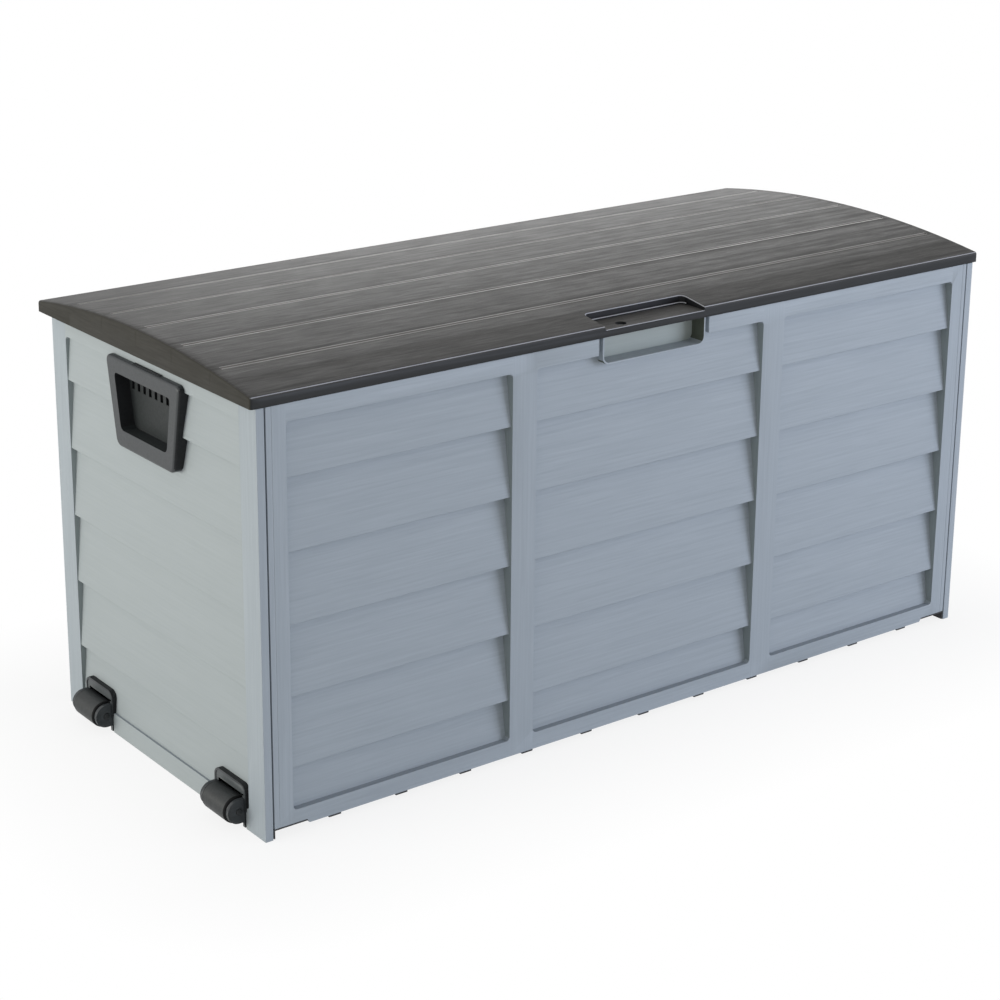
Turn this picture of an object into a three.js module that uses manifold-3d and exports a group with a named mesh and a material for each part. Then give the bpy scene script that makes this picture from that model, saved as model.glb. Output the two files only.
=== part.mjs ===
// Deck storage box: four moulded wall panels on a ribbed base, a crowned hinged lid,
// a carrying handle at each end and two rollers under the left end.
// Millimetres. +X runs along the length, -Y is the front, +Z is up and the floor is z = 0.
import * as THREE from 'three';
import { mergeVertices } from 'three/addons/utils/BufferGeometryUtils.js';
import Module from 'manifold-3d';

const wasm = await Module();
wasm.setup();

// ---- Driving dimensions ----
const FIT = 0.3; // gap between pieces that touch
const OVER = 1; // cutters run past faces by this, joined shapes run into each other
const LID_LENGTH = 1120;
const LID_DEPTH = 490;
const LID_RIM_BOTTOM = 507;
const LID_RIM_TOP = 520;
const LID_CROWN = 540;
const LID_WALL = 3.5;
const LID_EDGE = 3; // rounding of the lid's outer edges
const LID_PLANKS = 6;
const END_OVERHANG = 7; // of the lid past each side panel
const FRONT_OVERHANG = 1;
const REAR_OVERHANG = 22;
const PANEL_TOP = 506.4;
const PANEL_THICK = 22;
const SKIN = 3.5; // wall of every moulded panel
const RIB = 3; // thickness of the ribs that stiffen the panels and the base
const STILE_RIBS = [110, 250, 390]; // heights of the level ribs
const POST_FACE = 10; // width of the side panel's return on the front and back
const POST_GAP = 3; // shadow gap beside that return
const STILE = 35;
const SILL = 29;
const BAY_TOP = 486;
const BAY_RADIUS = 5;
const FRONT_EDGE = 8; // bottom edge of the front and back panels
const EDGE_STEP = 5; // that edge is higher near the corners
const EDGE_STEP_X = 490;
const EDGE_SLOPE = 8; // length of the slope between the two heights
const WEATHER_LIP = { from: 8, to: 11, top: 511 };
const CLIP = { inset: 5.5, half: 3, tall: 24, reach: 8, root: 4 };
const CLIP_HEIGHTS = [100, 260, 420];
const POCKET = { half: 78, floor: 475, depth: 22, rim: 5, radius: 8 };
const POCKET_SLIT = { width: 3, depth: 2 }; // beside the pocket's rim
const TRAY = { half: 77.5, depth: 42, floor: 516, ledge: 2.5, radius: 7 };
const TRAY_LEDGE_BACK = 10; // the lower step stops this far from the tray's back
const PADLOCK_HOLE = { x: -43, y: -231, radius: 7 };
const HANDLE = { topZ: 495, topHalf: 86, footZ: 383, footHalf: 65, proud: 13, radius: 9, edge: 4 };
const HANDLE_FOOTING = 12; // how far the skirt reaches back into the bay
const GRIP = { topZ: 470, topHalf: 60, footZ: 404, footHalf: 49, depth: 22, radius: 6, wall: 3 };
const GRIP_SLOT = { count: 7, pitch: 12.6, width: 5, top: 466, foot: 446 };
const ROLLER = { radius: 16.5, half: 25, axisZ: 23.5, axisOut: 8.5, dish: 4 };
const BRACKET = { half: 34, topZ: 54, footZ: 16, proud: 2.5, openTop: 42, radius: 7, depth: 12 };
const LUG = { radius: 13, thick: 5 };
const WELL = { half: 31, wall: 3, top: 50, foot: 1.5 };
const ROLLER_Y = { front: -171, rear: 141 };
const AXLE_RADIUS = 4;
const HINGE = { y: 234, z: 500, barrel: 8, pin: 4, leaf: 20, lug: 25, gap: 0.5 };
const LEAF_ROOT = { foot: 474, top: 505 };
const HINGE_X = [-420, -140, 140, 420];
const LID_OPEN = THREE.MathUtils.degToRad(100);
const BASE_TOP = 24;
const BASE_FOOT = 6; // lower edge of the base's skirt
const FOOT = { size: 36, inset: 22, insetY: 32, radius: 6 };
const HOOK = { pitch: 92, half: 8, count: 11, foot: 5.4 };
const TAB = { half: 12, foot: 4.8, top: 8.3, reach: 9, slack: 0.5 };
const TAB_Y = [-75, 0, 75];
const GROOVE = { half: 1.8, deep: 1.1 };
const LID_RIB = 2.5;
const LID_RIB_FOOT = 518;
const TURNED = 12; // facets round a pin
const ROLLER_FACETS = 20;

// ---- Places worked out from them ----
const SIDE_X = LID_LENGTH / 2 - END_OVERHANG;
const FRONT_Y = -LID_DEPTH / 2 + FRONT_OVERHANG;
const REAR_Y = LID_DEPTH / 2 - REAR_OVERHANG;
const PANEL_HALF = SIDE_X - POST_FACE - POST_GAP;
const SIDE_MIDDLE = (FRONT_Y + REAR_Y) / 2;
const SIDE_HALF = (REAR_Y - FRONT_Y) / 2;
const INNER_FRONT = FRONT_Y + PANEL_THICK;
const INNER_REAR = REAR_Y - PANEL_THICK;
const PLANK_JOINTS = [-2, -1, 0, 1, 2].map((step) => (step * LID_DEPTH) / LID_PLANKS);
const ARCH_RISE = LID_CROWN - LID_RIM_TOP;
const ARCH_RADIUS = ((LID_DEPTH / 2) ** 2 + ARCH_RISE ** 2) / (2 * ARCH_RISE);

// Lap boards: each is proud at its lower edge and leans back to its top.
const FRONT_LAPS = { topLap: 421.5, pitch: 85.4, proud: 3, deep: 16 };
const SIDE_LAPS = { topLap: 432, pitch: 86, proud: 1, deep: 8 };

// ---- Finishes ----
const finish = (color, roughness, metalness = 0) => {
  return new THREE.MeshStandardMaterial({ color, roughness, metalness });
};
const WALL_GREY = () => finish(0x98a0a8, 0.6);
const LID_GREY = () => finish(0x5f6062, 0.6);
const DARK_GREY = () => finish(0x45494c, 0.5);
const BLACK = () => finish(0x1e1f22, 0.6);
const PIN_GREY = () => finish(0x2c2e30, 0.45);

// ---- Making and joining solids ----

// Faces meant to share a plane do so exactly once they sit on this grid.
const GRID = 100; // steps per millimetre
const snap = (value) => Math.round(value * GRID) / GRID;

function toSolid(geometry) {
  const bare = geometry.clone();
  bare.deleteAttribute('normal');
  bare.deleteAttribute('uv');
  const merged = mergeVertices(bare, 1e-4);
  return new wasm.Manifold(new wasm.Mesh({
    numProp: 3,
    vertProperties: Float32Array.from(merged.attributes.position.array, snap),
    triVerts: new Uint32Array(merged.index.array),
  }));
}

function toMesh(name, solid, material) {
  const { vertProperties, triVerts } = solid.getMesh();
  const geometry = new THREE.BufferGeometry();
  geometry.setAttribute('position', new THREE.BufferAttribute(vertProperties, 3));
  geometry.setIndex(new THREE.BufferAttribute(triVerts, 1));
  geometry.computeVertexNormals();
  const mesh = new THREE.Mesh(geometry, material);
  mesh.name = name;
  return mesh;
}

function join(...solids) {
  return solids.flat().reduce((whole, solid) => whole.add(solid));
}

function cut(solid, ...tools) {
  return tools.flat().reduce((rest, tool) => rest.subtract(tool), solid);
}

function block(x0, x1, y0, y1, z0, z1) {
  const box = new THREE.BoxGeometry(x1 - x0, y1 - y0, z1 - z0);
  box.translate((x0 + x1) / 2, (y0 + y1) / 2, (z0 + z1) / 2);
  return toSolid(box);
}

// A block whose two X ends may come in either order.
function across(xa, xb, y0, y1, z0, z1) {
  return block(Math.min(xa, xb), Math.max(xa, xb), y0, y1, z0, z1);
}

function extrude(shape, length, xAxis, yAxis, zAxis, start, options = {}) {
  const settings = { depth: length, bevelEnabled: false, ...options };
  const geometry = new THREE.ExtrudeGeometry(shape, settings);
  const turn = new THREE.Matrix4().makeBasis(xAxis, yAxis, zAxis);
  geometry.applyMatrix4(turn.setPosition(start));
  return toSolid(geometry);
}

const X = new THREE.Vector3(1, 0, 0);
const Y = new THREE.Vector3(0, 1, 0);
const Z = new THREE.Vector3(0, 0, 1);

// The shape holds (y, z).
function alongX(shape, x0, x1, options) {
  return extrude(shape, x1 - x0, Y, Z, X, new THREE.Vector3(x0, 0, 0), options);
}

// The shape holds (x, z).
function alongY(shape, y0, y1, options) {
  return extrude(shape, y1 - y0, X, Z, Y.clone().negate(), new THREE.Vector3(0, y1, 0), options);
}

// The shape holds (x, y).
function alongZ(shape, z0, z1, options) {
  return extrude(shape, z1 - z0, X, Y, Z, new THREE.Vector3(0, 0, z0), options);
}

function polygon(points) {
  return new THREE.Shape(points.map(([a, b]) => new THREE.Vector2(a, b)));
}

// A closed outline whose corners are rounded over by curves.
function softPolygon(points, radius, steps = 2) {
  const corners = points.map(([a, b]) => new THREE.Vector2(a, b));
  const outline = corners.flatMap((corner, i) => {
    const before = corners.at(i - 1).clone().sub(corner).setLength(radius).add(corner);
    const after = corners[(i + 1) % corners.length].clone().sub(corner).setLength(radius).add(corner);
    return new THREE.QuadraticBezierCurve(before, corner, after).getPoints(steps);
  });
  return new THREE.Shape(outline);
}

function roundedRect(x0, x1, y0, y1, radius) {
  return softPolygon([[x0, y0], [x1, y0], [x1, y1], [x0, y1]], radius);
}

function disc(a, b, radius, facets = 12) {
  const rim = spread(0, Math.PI * 2, facets + 1).slice(0, -1);
  return polygon(rim.map((turn) => [a + radius * Math.cos(turn), b + radius * Math.sin(turn)]));
}

// Points (a, b) along an arc from one angle to another, in degrees.
function arc(a, b, radius, from, to, facets) {
  return spread(from, to, facets + 1).map((degrees) => {
    const turn = THREE.MathUtils.degToRad(degrees);
    return [a + radius * Math.cos(turn), b + radius * Math.sin(turn)];
  });
}

function spread(low, high, count) {
  return Array.from({ length: count }, (_, i) => low + ((high - low) * i) / (count - 1));
}

// ---- Wall panels, made in the panel's own frame ----
// x runs along the panel, y goes inward from its outer face and z is up.

// Points (depth, z) of a stack of lap boards, from the lowest up.
function lapFace(laps, low, high, inward = 0, up = 0) {
  const lean = (laps.deep - laps.proud) / laps.pitch;
  const below = Math.ceil((laps.topLap - low) / laps.pitch);
  const points = [];
  for (let foot = laps.topLap - below * laps.pitch; foot < high; foot += laps.pitch) {
    const from = Math.max(foot, low);
    const to = Math.min(foot + laps.pitch, high);
    points.push([laps.proud + lean * (from - foot) + inward, from + up]);
    points.push([laps.proud + lean * (to - foot) + inward, to + up]);
  }
  return points;
}

function behindLaps(points, back) {
  return polygon([...points, [back, points.at(-1)[1]], [back, points[0][1]]]);
}

// Everything inward of the panel's outer surface, as if it were solid.
function panelEnvelope(spec) {
  const slab = block(spec.x0, spec.x1, 0, PANEL_THICK, spec.z0, PANEL_TOP);
  const bays = spec.bays.map((bay) => bayPrism(spec, bay, 0, -1, PANEL_THICK + 1));
  const fills = spec.bays.map((bay) => bayFill(spec, bay));
  return join(cut(slab, bays), fills);
}

function bayPrism(spec, [x0, x1], grow, y0, y1) {
  const shape = roundedRect(x0 - grow, x1 + grow, spec.sill - grow, spec.bayTop + grow, BAY_RADIUS + grow);
  return alongY(shape, y0, y1);
}

function bayFill(spec, bay) {
  const face = lapFace(spec.laps, spec.sill - SKIN, spec.bayTop + SKIN);
  const fill = alongX(behindLaps(face, PANEL_THICK), bay[0] - SKIN, bay[1] + SKIN);
  return fill.intersect(bayPrism(spec, bay, 1, -1, PANEL_THICK + 1));
}

// Upright ribs behind the boards and level ribs behind the stiles.
function panelRibs(spec) {
  const ribs = [];
  for (const [x0, x1] of spec.bays) {
    const count = Math.max(2, Math.round((x1 - x0) / spec.ribPitch));
    for (const x of spread(x0, x1, count + 1).slice(1, -1)) {
      ribs.push(block(x - RIB / 2, x + RIB / 2, OVER, PANEL_THICK - OVER, spec.z0 + OVER, PANEL_TOP - OVER));
    }
  }
  const edges = [spec.x0, ...spec.bays.flat(), spec.x1];
  for (let i = 0; i < edges.length; i += 2) {
    for (const z of STILE_RIBS) {
      ribs.push(block(edges[i] + OVER, edges[i + 1] - OVER, OVER, PANEL_THICK - 2, z - RIB / 2, z + RIB / 2));
    }
  }
  return join(ribs);
}

// An open-backed shell: skin, edge walls, bay rims, lap boards and ribs.
function mouldedPanel(spec) {
  const back = PANEL_THICK + 1;
  const slab = block(spec.x0, spec.x1, 0, PANEL_THICK, spec.z0, PANEL_TOP);
  const core = block(spec.x0 + SKIN, spec.x1 - SKIN, SKIN, back, spec.z0 + SKIN, PANEL_TOP - SKIN);
  const rims = spec.bays.map((bay) => bayPrism(spec, bay, SKIN, 1, PANEL_THICK));
  const holes = spec.bays.map((bay) => bayPrism(spec, bay, 0, -1, back));
  const innerFace = lapFace(spec.laps, 0, PANEL_TOP, SKIN, SKIN);
  const boards = spec.bays.map((bay) => {
    const hollow = alongX(behindLaps(innerFace, back), bay[0] - 2 * SKIN, bay[1] + 2 * SKIN);
    return cut(bayFill(spec, bay), hollow);
  });
  const shell = join(cut(join(cut(slab, core), rims), holes), boards);
  return shell.add(panelRibs(spec).intersect(panelEnvelope(spec)));
}

const frontSpec = {
  x0: -PANEL_HALF,
  x1: PANEL_HALF,
  z0: FRONT_EDGE,
  sill: SILL,
  bayTop: BAY_TOP,
  laps: FRONT_LAPS,
  ribPitch: 100,
  bays: [[-516, -212], [-177, 177], [212, 516]],
};

// The side panel's x runs from the rear (low) to the front (high).
const sideSpec = {
  x0: -SIDE_HALF,
  x1: SIDE_HALF,
  z0: 0,
  sill: 26,
  bayTop: 487,
  laps: SIDE_LAPS,
  ribPitch: 100,
  bays: [[-SIDE_HALF + STILE - 1, SIDE_HALF - STILE]],
};

// A thin upstand along the top edge keeps rain from creeping in under the lid.
function weatherLip(x0, x1) {
  return block(x0, x1, WEATHER_LIP.from, WEATHER_LIP.to, PANEL_TOP - OVER, WEATHER_LIP.top);
}

// Long panels: notched lower corners and hooks that clip into the side panels.
function longPanel() {
  const stepped = FRONT_EDGE + EDGE_STEP;
  const notches = [-1, 1].map((side) => {
    const inner = side * EDGE_STEP_X;
    const outer = side * (PANEL_HALF + OVER);
    const slopeEnd = inner + side * EDGE_SLOPE;
    const outline = [[inner, 0], [inner, FRONT_EDGE], [slopeEnd, stepped], [outer, stepped], [outer, 0]];
    return alongY(polygon(side > 0 ? outline : outline.reverse()), -OVER, PANEL_THICK + OVER);
  });
  const endWalls = [-1, 1].map((side) => {
    return across(side * EDGE_STEP_X, side * PANEL_HALF, 0, PANEL_THICK, FRONT_EDGE, stepped + SKIN);
  });
  const hooks = clipPlaces().map(([x, z]) => {
    const { half, tall, root, reach } = CLIP;
    return block(x - half, x + half, PANEL_THICK - root, PANEL_THICK + reach, z - tall / 2, z + tall / 2);
  });
  return join(cut(join(mouldedPanel(frontSpec), endWalls), notches), hooks);
}

function clipPlaces() {
  return [-1, 1].flatMap((side) => CLIP_HEIGHTS.map((z) => [side * (PANEL_HALF - CLIP.inset), z]));
}

// A hand pocket interrupts the top edge; its rim stands beside two slits.
function frontPanel() {
  const { half, floor, depth, rim, radius } = POCKET;
  const back = depth + SKIN;
  const open = PANEL_TOP + 50; // the pocket has no top
  const housing = roundedRect(-half - rim, half + rim, floor - rim, open, radius + rim);
  const hollow = roundedRect(-half, half, floor, open, radius);
  const trim = [
    block(-PANEL_HALF, PANEL_HALF, -back, back + OVER, PANEL_TOP, open + OVER),
    block(-half - 2 * rim, half + 2 * rim, -back, 0, floor - 2 * rim, open + OVER),
  ];
  const slits = [-1, 1].map((side) => {
    const x = side * (half + rim);
    return across(x, x + side * POCKET_SLIT.width, -OVER, POCKET_SLIT.depth, BAY_TOP, PANEL_TOP + OVER);
  });
  const lips = [-1, 1].map((side) => {
    const x = [side * (half + rim + POCKET_SLIT.width + OVER), side * (PANEL_HALF - 2)];
    return weatherLip(Math.min(...x), Math.max(...x));
  });
  const housed = join(longPanel(), alongY(housing, -OVER, back));
  const panel = join(cut(housed, trim, alongY(hollow, -2 * OVER, depth), slits), lips);
  return panel.translate([0, FRONT_Y, 0]);
}

// The back panel is the front one without the pocket, with hinge leaves near its top edge.
function backPanel() {
  const lip = weatherLip(-PANEL_HALF + 2, PANEL_HALF - 2);
  const panel = longPanel().add(lip).rotate([0, 0, 180]).translate([0, REAR_Y, 0]);
  return join(panel, HINGE_X.flatMap(hingeLeaves));
}

// Two leaves on the back panel, one each side of the lid's lug.
function hingeLeaves(x) {
  const { y, z, barrel, leaf, lug, gap, pin } = HINGE;
  const root = REAR_Y - OVER;
  const outline = [[root, LEAF_ROOT.foot], ...arc(y, z, barrel, -60, 110, 6), [root, LEAF_ROOT.top]];
  return [-1, 1].map((side) => {
    const inner = side * (lug / 2 + gap);
    const ends = [x + inner, x + inner + side * leaf];
    const plate = alongX(polygon(outline), Math.min(...ends), Math.max(...ends));
    return cut(plate, alongX(disc(y, z, pin + FIT), Math.min(...ends) - OVER, Math.max(...ends) + OVER));
  });
}

// A headed pin turned about its own X axis and set down with that axis at (x, y, z).
function turnedPin(radius, reach, head, tip, x, y, z) {
  const start = -reach - FIT;
  const profile = [
    [0, start - head], [radius + head / 2, start - head], [radius + head / 2, start],
    [radius, start], [radius, reach], [radius - tip, reach + tip], [0, reach + tip],
  ];
  return turn(profile, TURNED, x, y, z);
}

// Profile points are (radius, distance along X).
function turn(profile, facets, x, y, z) {
  const turned = new THREE.LatheGeometry(profile.map(([r, h]) => new THREE.Vector2(r, h)), facets);
  turned.rotateZ(-Math.PI / 2);
  turned.translate(x, y, z);
  return toSolid(turned);
}

function hingePin(x) {
  return turnedPin(HINGE.pin, HINGE.lug / 2 + HINGE.gap + HINGE.leaf, 3, 1.5, x, HINGE.y, HINGE.z);
}

// ---- Side panels ----

function trapezoid({ topZ, topHalf, footZ, footHalf }, grow, radius) {
  const corners = [
    [-footHalf - grow, footZ - grow], [footHalf + grow, footZ - grow],
    [topHalf + grow, topZ + grow], [-topHalf - grow, topZ + grow],
  ];
  return softPolygon(corners, radius);
}

// Turns a piece from the panel's frame to the left end of the box.
function toLeft(solid) {
  return solid.rotate([0, 0, -90]).translate([-SIDE_X, SIDE_MIDDLE, 0]);
}

function toRight(solid) {
  return solid.mirror([1, 0, 0]).rotate([0, 0, 90]).translate([SIDE_X, SIDE_MIDDLE, 0]);
}

const alongSide = (y) => SIDE_MIDDLE - y; // a world Y as the panel's x
const HANDLE_X = 0; // the middle of the end wall
const ROLLER_X = { front: alongSide(ROLLER_Y.front), rear: alongSide(ROLLER_Y.rear) };

function gripWell(grow, y0, y1) {
  return alongY(trapezoid(GRIP, grow, GRIP.radius + grow), y0, y1).translate([HANDLE_X, 0, 0]);
}

// Slots that take the base's tabs and the long panels' hooks.
function jointSlots(reach, back) {
  const tabs = TAB_Y.map((y) => {
    const x = alongSide(y);
    const half = TAB.half + OVER;
    const { foot, top, slack } = TAB;
    return block(x - half, x + half, PANEL_THICK + FIT - TAB.reach - slack, back, foot - slack, top + slack);
  });
  const clipY = SIDE_X - PANEL_HALF + CLIP.inset;
  const halfWide = CLIP.half + TAB.slack;
  const halfTall = CLIP.tall / 2 + TAB.slack;
  const clips = [-1, 1].flatMap((side) => CLIP_HEIGHTS.map((z) => {
    const ends = [side * (reach - CLIP.reach - OVER), side * (reach + OVER)];
    return across(...ends, clipY - halfWide, clipY + halfWide, z - halfTall, z + halfTall);
  }));
  return [...tabs, ...clips];
}

// The side panels carry the corner posts, which return onto the front and the back.
function sidePanel(withRollers) {
  const back = PANEL_THICK + 20;
  const reach = SIDE_HALF - PANEL_THICK - FIT;
  const envelope = panelEnvelope(sideSpec);
  const top = PANEL_TOP - OVER;
  const rebates = [-1, 1].map((side) => {
    return across(side * reach, side * (SIDE_HALF + OVER), POST_FACE, back, -OVER, PANEL_TOP + OVER);
  });
  const flanges = [-1, 1].map((side) => {
    return across(side * (reach + OVER), side * (reach - SKIN - OVER), OVER, PANEL_THICK - 0.2, OVER, top);
  });
  const posts = [-1, 1].map((side) => {
    const outer = SIDE_HALF - SKIN / 2;
    return across(side * outer, side * (outer - PANEL_THICK), OVER, POST_FACE + OVER, OVER, top);
  });
  const walls = join(mouldedPanel(sideSpec), flanges, posts, weatherLip(SKIN - reach, reach - SKIN));
  const gripFrame = gripWell(GRIP.wall + OVER + SKIN, OVER, PANEL_THICK).intersect(envelope);
  const opening = gripWell(GRIP.wall + 2 * FIT, -5, back);
  const panel = cut(join(walls, gripFrame), rebates, opening, jointSlots(reach, back));
  return withRollers ? roomForRollers(panel, envelope, back) : panel;
}

// Two framed openings for the roller brackets and a shallow recess between them.
function roomForRollers(panel, envelope, back) {
  const recess = block(ROLLER_X.rear + 42, ROLLER_X.front - 64, -OVER, 1.2, -OVER, 22);
  let roomy = cut(panel, recess);
  for (const x of Object.values(ROLLER_X)) {
    const surround = block(x - 40, x + 40, OVER, PANEL_THICK, 0, BRACKET.topZ + 6);
    const half = WELL.half + 0.5;
    const well = block(x - half, x + half, -5, back, -OVER, WELL.top + 0.5);
    roomy = cut(roomy.add(surround.intersect(envelope)), well);
  }
  return roomy;
}

// ---- Handles ----

// A hollow moulded plate round a finger cup, with a skirt that follows the lap boards.
function handle() {
  const { proud, radius, edge } = HANDLE;
  const bevel = { bevelEnabled: true, bevelThickness: edge, bevelSize: edge, bevelSegments: 2 };
  const plate = trapezoid(HANDLE, -edge, radius);
  const core = trapezoid(HANDLE, -GRIP.wall, radius - GRIP.wall);
  const outer = alongY(plate, edge - proud, 20, bevel).translate([HANDLE_X, 0, 0]);
  const inner = alongY(core, GRIP.wall + OVER - proud, 30).translate([HANDLE_X, 0, 0]);
  const behind = block(-SIDE_HALF, SIDE_HALF, HANDLE_FOOTING, 40, HANDLE.footZ - 20, HANDLE.topZ + 20);
  const skirt = cut(outer, inner, panelEnvelope(sideSpec).translate([0, -FIT, 0]), behind);
  const back = GRIP.depth - proud;
  const room = gripWell(0, -proud - OVER, back);
  const cup = cut(gripWell(GRIP.wall, OVER - proud, back + GRIP.wall), room);
  const last = (GRIP_SLOT.count - 1) / 2;
  const slots = spread(-last, last, GRIP_SLOT.count).map((step) => {
    const x = HANDLE_X + step * GRIP_SLOT.pitch;
    const half = GRIP_SLOT.width / 2;
    return block(x - half, x + half, back - OVER, back + 10, GRIP_SLOT.foot, GRIP_SLOT.top);
  });
  return cut(join(cut(skirt, room), cup), slots);
}

// ---- Rollers ----

// A moulded housing let into the side panel, with two lugs that carry the axle.
function rollerBracket(x) {
  const { half, topZ, footZ, proud, openTop, radius, depth } = BRACKET;
  const { axisOut, axisZ } = ROLLER;
  const plate = alongY(roundedRect(x - half, x + half, footZ, topZ, radius), -proud, depth);
  const fitted = cut(plate, panelEnvelope(sideSpec).translate([0, -FIT, 0]));
  const well = block(x - WELL.half, x + WELL.half, -proud, PANEL_THICK - FIT, WELL.foot, WELL.top);
  const room = ROLLER.half + OVER;
  const hollow = block(x - room, x + room, -proud - OVER, PANEL_THICK - FIT - WELL.wall, 0, openTop);
  const lug = join(
    alongX(disc(-axisOut, axisZ, LUG.radius), 0, LUG.thick),
    block(0, LUG.thick, -axisOut, 4, axisZ - LUG.radius, axisZ + LUG.radius),
  );
  const lugs = [lug.translate([x + room, 0, 0]), lug.translate([x - room - LUG.thick, 0, 0])];
  const axle = alongX(disc(-axisOut, axisZ, AXLE_RADIUS + FIT), x - 2 * room, x + 2 * room);
  return cut(join(cut(join(fitted, well), hollow), lugs), axle);
}

// A roller with rounded ends, dished round its hub and bored for its axle.
function roller(x) {
  const { radius, half, dish } = ROLLER;
  const bore = AXLE_RADIUS + 2 * FIT;
  const hub = bore + 3;
  const rim = radius - 3;
  const dished = [[bore, half], [hub, half], [hub, half - dish], [rim, half - dish]];
  const end = [...dished, [rim, half], [radius, half - 2.5]];
  const otherEnd = end.map(([r, h]) => [r, -h]);
  const profile = [...otherEnd, ...end.reverse(), otherEnd[0]];
  return turn(profile, ROLLER_FACETS, x, -ROLLER.axisOut, ROLLER.axisZ);
}

function rollerAxle(x) {
  return turnedPin(AXLE_RADIUS, ROLLER.half + OVER + LUG.thick, 2, 1, x, -ROLLER.axisOut, ROLLER.axisZ);
}

// ---- Base ----

// A deck on a skirt, stiffened by crossed ribs, standing on eight pads.
function basePanel() {
  const x = SIDE_X - PANEL_THICK - FIT;
  const y0 = INNER_FRONT + FIT;
  const y1 = INNER_REAR - FIT;
  const under = BASE_TOP - OVER;
  const half = RIB / 2;
  const deck = block(-x, x, y0, y1, BASE_TOP - SKIN, BASE_TOP);
  const inside = block(SKIN - x, x - SKIN, y0 + SKIN, y1 - SKIN, 0, BASE_TOP);
  const skirt = cut(block(-x, x, y0, y1, BASE_FOOT, BASE_TOP), inside);
  const crossRibs = spread(-x, x, 8).slice(1, -1).map((at) => {
    return block(at - half, at + half, y0 + OVER, y1 - OVER, BASE_FOOT + 1, under);
  });
  const longRibs = spread(y0, y1, 4).slice(1, -1).map((at) => {
    return block(OVER - x, x - OVER, at - half, at + half, BASE_FOOT + 2, under);
  });
  const feet = [FOOT.inset - x, -x / 3, x / 3, x - FOOT.inset].flatMap((footX) => {
    return [y0 + FOOT.insetY, y1 - FOOT.insetY].map((footY) => {
      const reach = FOOT.size / 2;
      const pad = roundedRect(footX - reach, footX + reach, footY - reach, footY + reach, FOOT.radius);
      return alongZ(pad, 0, under);
    });
  });
  return join(deck, skirt, crossRibs, longRibs, feet, panelHooks(y0, y1), sideTabs(x));
}

// Hooks along both long edges reach under the front and back panels.
function panelHooks(y0, y1) {
  const last = (HOOK.count - 1) / 2;
  const depth = PANEL_THICK - OVER;
  return spread(-last, last, HOOK.count).flatMap((step) => {
    const x0 = step * HOOK.pitch - HOOK.half;
    const x1 = step * HOOK.pitch + HOOK.half;
    return [
      block(x0, x1, y0 - FIT - depth, y0 + OVER, HOOK.foot, FRONT_EDGE - FIT),
      block(x0, x1, y0, y0 + 2, HOOK.foot, BASE_FOOT + 4),
      block(x0, x1, y1 - OVER, y1 + FIT + depth, HOOK.foot, FRONT_EDGE - FIT),
      block(x0, x1, y1 - 2, y1, HOOK.foot, BASE_FOOT + 4),
    ];
  });
}

// Tabs at both ends push into slots in the side panels.
function sideTabs(x) {
  return TAB_Y.flatMap((y) => [-1, 1].flatMap((side) => {
    const tip = side * (x + TAB.reach);
    return [
      across(side * (x - OVER), tip, y - TAB.half, y + TAB.half, TAB.foot, TAB.top),
      across(side * (x - RIB), side * x, y - TAB.half, y + TAB.half, TAB.foot, BASE_TOP - OVER),
    ];
  }));
}

// ---- Lid ----

function archHeight(y, drop = 0) {
  return LID_CROWN - drop - ARCH_RADIUS + Math.sqrt(ARCH_RADIUS ** 2 - y * y);
}

// Cross-section (y, z) of the lid, inset from its outer surface, with its top edges rounded over.
function lidSection(inset, bottom) {
  const reach = LID_DEPTH / 2 - inset;
  const edge = Math.max(LID_EDGE - inset, 0.5);
  const crown = spread(reach - edge, edge - reach, LID_PLANKS * 2 + 1).map((y) => [y, archHeight(y, inset)]);
  const shoulder = LID_RIM_TOP - inset - edge;
  return polygon([
    [-reach, bottom], [reach, bottom], [reach, shoulder], [reach - edge * 0.3, shoulder + edge * 0.75],
    ...crown,
    [edge * 0.3 - reach, shoulder + edge * 0.75], [-reach, shoulder],
  ]);
}

// The lid's outer body, rounded over at its two ends and scored between its planks.
function lidBody() {
  const half = LID_LENGTH / 2;
  const rounding = {
    bevelEnabled: true,
    bevelThickness: LID_EDGE,
    bevelSize: LID_EDGE,
    bevelOffset: -LID_EDGE,
    bevelSegments: 2,
  };
  const solid = alongX(lidSection(0, LID_RIM_BOTTOM - 10), LID_EDGE - half, half - LID_EDGE, rounding);
  const below = block(-half - 1, half + 1, -LID_DEPTH, LID_DEPTH, LID_RIM_BOTTOM - 20, LID_RIM_BOTTOM);
  const grooves = PLANK_JOINTS.map((y) => {
    const top = archHeight(y);
    const vee = [[y + GROOVE.half, top + 0.5], [y, top - GROOVE.deep], [y - GROOVE.half, top + 0.5]];
    return alongX(polygon(vee), LID_EDGE + OVER - half, half - LID_EDGE - OVER);
  });
  return cut(solid, below, grooves);
}

function lidRibs() {
  const half = LID_LENGTH / 2 - OVER;
  const reach = LID_DEPTH / 2 - OVER;
  const thin = LID_RIB / 2;
  const longRibs = PLANK_JOINTS.map((y) => {
    return block(-half, half, y - thin, y + thin, LID_RIB_FOOT, LID_CROWN - 5);
  });
  const crossRibs = spread(-LID_LENGTH / 2, LID_LENGTH / 2, 9).slice(1, -1).map((x) => {
    return block(x - thin, x + thin, -reach, reach, LID_RIB_FOOT + 1, LID_CROWN);
  });
  return join(longRibs, crossRibs).intersect(alongX(lidSection(1.5, LID_RIM_BOTTOM), -half, half));
}

// A shallow tray let into the front edge, with a hole for a padlock.
function trayOutline(grow) {
  const front = -LID_DEPTH / 2;
  const back = front + TRAY.depth + grow;
  const half = TRAY.half + grow;
  return softPolygon([[-half, front - 40], [half, front - 40], [half, back], [-half, back]], TRAY.radius);
}

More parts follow.
